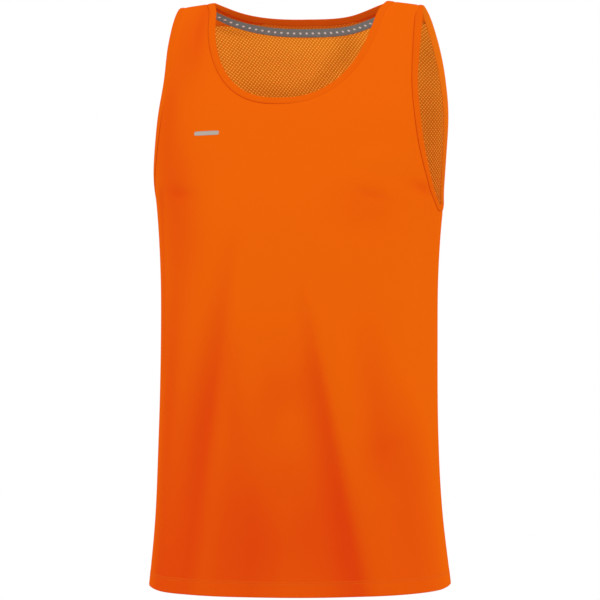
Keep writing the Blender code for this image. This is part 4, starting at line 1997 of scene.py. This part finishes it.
@dataclass(frozen=True)
class TapeWeave:
    """Grey herringbone tape with a row of evenly spaced light dots."""

    grey: Colour = (0.240, 0.325, 0.330)
    dark: Colour = (0.165, 0.225, 0.225)
    dot: Colour = (0.82, 0.90, 0.88)
    dot_pitch: float = 7.5
    dot_radius: float = 1.45
    width: float = 11.2
    twill: float = 0.9

    def material(self) -> bpy.types.Material:
        """Makes the finish.

        Returns:
            The material.
        """
        board = Board("neck_tape_weave")
        along, across = board.pattern()
        slanted = across.fold(3.8) * 1.1 + along
        weave = slanted.wave(self.twill)
        x = along.fold(self.dot_pitch)
        y = across - self.width / 2
        away = board.math("SQRT", x * x + y * y)
        dots = ((self.dot_radius - away) / 0.3 + 0.5).clamp()
        cloth = board.blend(weave * 0.5 + board.noise(8.0) * 0.3, self.grey, self.dark)
        return board.finish(
            Base_Color=board.blend(dots, cloth, self.dot),
            Roughness=0.72 - dots * 0.2,
            Normal=board.bump(weave + dots * 0.6, 0.12, 0.6),
            Sheen_Weight=0.1,
            Sheen_Roughness=0.5,
            Specular_IOR_Level=0.3,
        )


@dataclass(frozen=True)
class Thread:
    """Twisted sewing thread."""

    name: str = "orange_thread"
    light: Colour = (0.92, 0.200, 0.012)
    dark: Colour = (0.80, 0.110, 0.006)

    def material(self) -> bpy.types.Material:
        """Makes the finish.

        Returns:
            The material.
        """
        board = Board(self.name)
        along, across = board.pattern()
        twist = (along + across * 1.3).wave(0.42)
        return board.finish(
            Base_Color=board.blend(twist * 0.6, self.light, self.dark),
            Roughness=0.55 + twist * 0.15,
            Normal=board.bump(1 - twist, 0.05, 0.6),
            Specular_IOR_Level=0.1,
        )


@dataclass(frozen=True)
class ReflectiveFilm:
    """Silver-grey reflective print: fine glass beads that sparkle a little."""

    grey: Colour = (0.42, 0.40, 0.37)
    warm: Colour = (0.52, 0.38, 0.28)

    def material(self) -> bpy.types.Material:
        """Makes the finish.

        Returns:
            The material.
        """
        board = Board("reflective_film")
        beads = board.noise(0.35, 3.0)
        return board.finish(
            Base_Color=board.blend(board.noise(5.0) * 0.7, self.grey, self.warm),
            Roughness=0.38 + beads * 0.2,
            Metallic=0.25,
            Normal=board.bump(beads, 0.03, 0.5),
        )


@dataclass(frozen=True)
class StudioPaper:
    """Plain near-white paper with a faint tooth."""

    white: Colour = (0.86, 0.86, 0.86)
    shade: Colour = (0.82, 0.82, 0.82)

    def material(self) -> bpy.types.Material:
        """Makes the finish.

        Returns:
            The material.
        """
        board = Board("studio_paper")
        grain = board.noise(12.0)
        return board.finish(
            Base_Color=board.blend(grain, self.white, self.shade),
            Roughness=0.85,
            Normal=board.bump(grain, 0.1, 0.2),
        )


# ---------------------------------------------------------------- studio


@dataclass(frozen=True)
class SoftLight:
    """A square soft light, aimed at the garment's middle."""

    name: str
    azimuth: float
    elevation: float
    distance: float
    size: float
    power: float

    def build(self, target: Vector) -> bpy.types.Object:
        """Makes the light, on a ball round the target, and turns it to it.

        Args:
            target: The place that it is aimed at.

        Returns:
            The light.
        """
        data = bpy.data.lights.new(self.name, "AREA")
        data.size = self.size
        data.energy = self.power
        light = bpy.data.objects.new(self.name, data)
        back = direction(self.azimuth, self.elevation)
        light.location = target + back * self.distance
        light.rotation_euler = (-back).to_track_quat("-Z", "Y").to_euler()
        bpy.context.scene.collection.objects.link(light)
        return light


def direction(azimuth: float, elevation: float) -> Vector:
    """From the garment towards a viewer, whose azimuth is + towards the wearer's left."""
    a, e = math.radians(azimuth), math.radians(elevation)
    return Vector((math.sin(a) * math.cos(e), -math.cos(a) * math.cos(e), math.sin(e)))


@dataclass(frozen=True)
class Studio:
    """The floor, the light and the camera."""

    target: tuple[float, float, float] = (0.0, 0.0, -0.360)
    azimuth: float = 17.8
    distance: float = 4.5
    lens: float = 223.8
    shift: float = 0.0008
    floor_height: float = -0.90
    floor_radius: float = 1.6
    ambient: float = 0.74
    lights: tuple[SoftLight, ...] = (
        SoftLight("key", 80, 22, 3.0, 2.0, 14),
        SoftLight("fill", -50, 15, 3.2, 2.4, 15),
        SoftLight("front", 8, 35, 3.2, 2.0, 5),
        SoftLight("top", 10, 80, 2.6, 2.0, 6.5),
        SoftLight("rim", 180, 25, 3.2, 2.4, 22),
    )

    def world(self) -> None:
        """A world that the camera sees as white, and that lights the garment softly."""
        world = bpy.data.worlds.new("studio")
        bpy.context.scene.world = world
        world.use_nodes = True
        nodes, links = world.node_tree.nodes, world.node_tree.links
        nodes.clear()
        path = nodes.new("ShaderNodeLightPath")
        strength = nodes.new("ShaderNodeMix")
        strength.inputs["A"].default_value = self.ambient
        strength.inputs["B"].default_value = 1.0
        back = nodes.new("ShaderNodeBackground")
        back.inputs["Color"].default_value = (1, 1, 1, 1)
        links.new(path.outputs["Is Camera Ray"], strength.inputs["Factor"])
        links.new(strength.outputs["Result"], back.inputs["Strength"])
        links.new(back.outputs[0], nodes.new("ShaderNodeOutputWorld").inputs["Surface"])

    def floor(self) -> bpy.types.Object:
        """A disc of paper: rings of points round its middle, (r cos, r sin).

        Returns:
            The floor.
        """
        radius, angle = np.meshgrid(
            self.floor_radius * np.linspace(0, 1, 9),
            np.linspace(0, 2 * np.pi, 96, endpoint=False),
            indexing="ij",
        )
        height = np.full_like(radius, self.floor_height)
        points = np.stack([radius * np.cos(angle), radius * np.sin(angle), height], axis=-1)
        sheet = Sheet()
        sheet.add(points, points[..., :2], np.zeros(radius.shape), closed=(False, True))
        disc = sheet.to_object("studio_floor")
        disc.data.materials.append(StudioPaper().material())
        return disc

    def camera(self) -> bpy.types.Object:
        """A long lens on the garment's middle, level with it.

        Returns:
            The camera.
        """
        data = bpy.data.cameras.new("camera")
        data.lens, data.sensor_width, data.shift_x = self.lens, 36.0, self.shift
        data.clip_start, data.clip_end = 0.05, 50
        camera = bpy.data.objects.new("camera", data)
        back = direction(self.azimuth, 0)
        camera.location = Vector(self.target) + back * self.distance
        camera.rotation_euler = (-back).to_track_quat("-Z", "Y").to_euler()
        bpy.context.scene.collection.objects.link(camera)
        bpy.context.scene.camera = camera
        return camera

    def build(self) -> None:
        """Makes all of it."""
        self.world()
        self.floor()
        self.camera()
        for light in self.lights:
            light.build(Vector(self.target))
        bpy.context.scene.view_settings.view_transform = "Standard"


# ---------------------------------------------------------------- the garment


@dataclass(frozen=True)
class Singlet:
    """The whole garment: its pieces, and the flat cuts of its sheets in metres."""

    front_cut: tuple[float, float, float] = (0.56, 0.765, 0.325)
    back_cut: tuple[float, float, float] = (0.44, 0.70, 0.265)
    neck_cut: tuple[float, float] = (0.60, 0.010)
    armhole_cut: tuple[float, float] = (0.55, 0.010)
    tape_cut: tuple[float, float] = (0.30, 0.0112)

    def build(self) -> list[bpy.types.Object]:
        """Returns:
            The pieces.
        """
        smooth = SmoothKnit()
        # The inner face of the front is yellower than the outer and glows: painted light that
        # comes through the cloth.
        inside = SmoothKnit(
            "smooth_knit_inside", 0.10, (0.80, 0.175, 0.006), (0.72, 0.11, 0.006), SEAM_SHADOW_RED
        )
        # The holes of the outer mesh show painted shade of the dark inside.
        mesh = MeshKnit(
            "mesh_knit", (0.88, 0.150, 0.005), (0.50, 0.083, 0.004), (0.56, 0.080, 0.006)
        )
        # The lining's cords are yellower, its holes bright, and it glows: painted light from
        # behind, through the mesh.
        lining = MeshKnit(
            "mesh_knit_inside",
            (0.80, 0.272, 0.012),
            (0.42, 0.105, 0.005),
            (1.0, 0.43, 0.06),
            SEAM_SHADOW_RED,
            glow=0.42,
            shaded=True,
        )
        front = Panel(Side.FRONT).build("front_panel_cloth", "smooth_knit", smooth, inside)
        back = Panel(Side.BACK).build("back_panel_cloth", "mesh_knit", mesh, lining)
        knit = BindingKnit().material()
        neck = Binding(NECKLINE, inner_shade=0.8, inner_light=0.3)
        neck = neck.build("neck_binding_strip", knit)
        armholes = [
            Binding(ARMHOLE, flank).build(f"armhole_binding_{flank.name.lower()}_strip", knit)
            for flank in Flank
        ]
        tape = NeckTape().build(TapeWeave().material())
        pale = Thread("pale_orange_thread", (0.95, 0.33, 0.050), (0.85, 0.20, 0.020))
        stitches = Threads().build(Thread().material(), pale.material())
        mark = ChestMark().build(ReflectiveFilm().material())
        return [front, back, neck, *armholes, tape, *stitches, mark]


def main() -> None:
    """Builds the garment and its studio."""
    logging.basicConfig(level=logging.INFO, format="%(name)s: %(message)s")
    pieces = Singlet().build()
    Studio().build()
    log.info("%d pieces", len(pieces))
    bpy.context.view_layer.update()


if __name__ == "__main__":
    main()
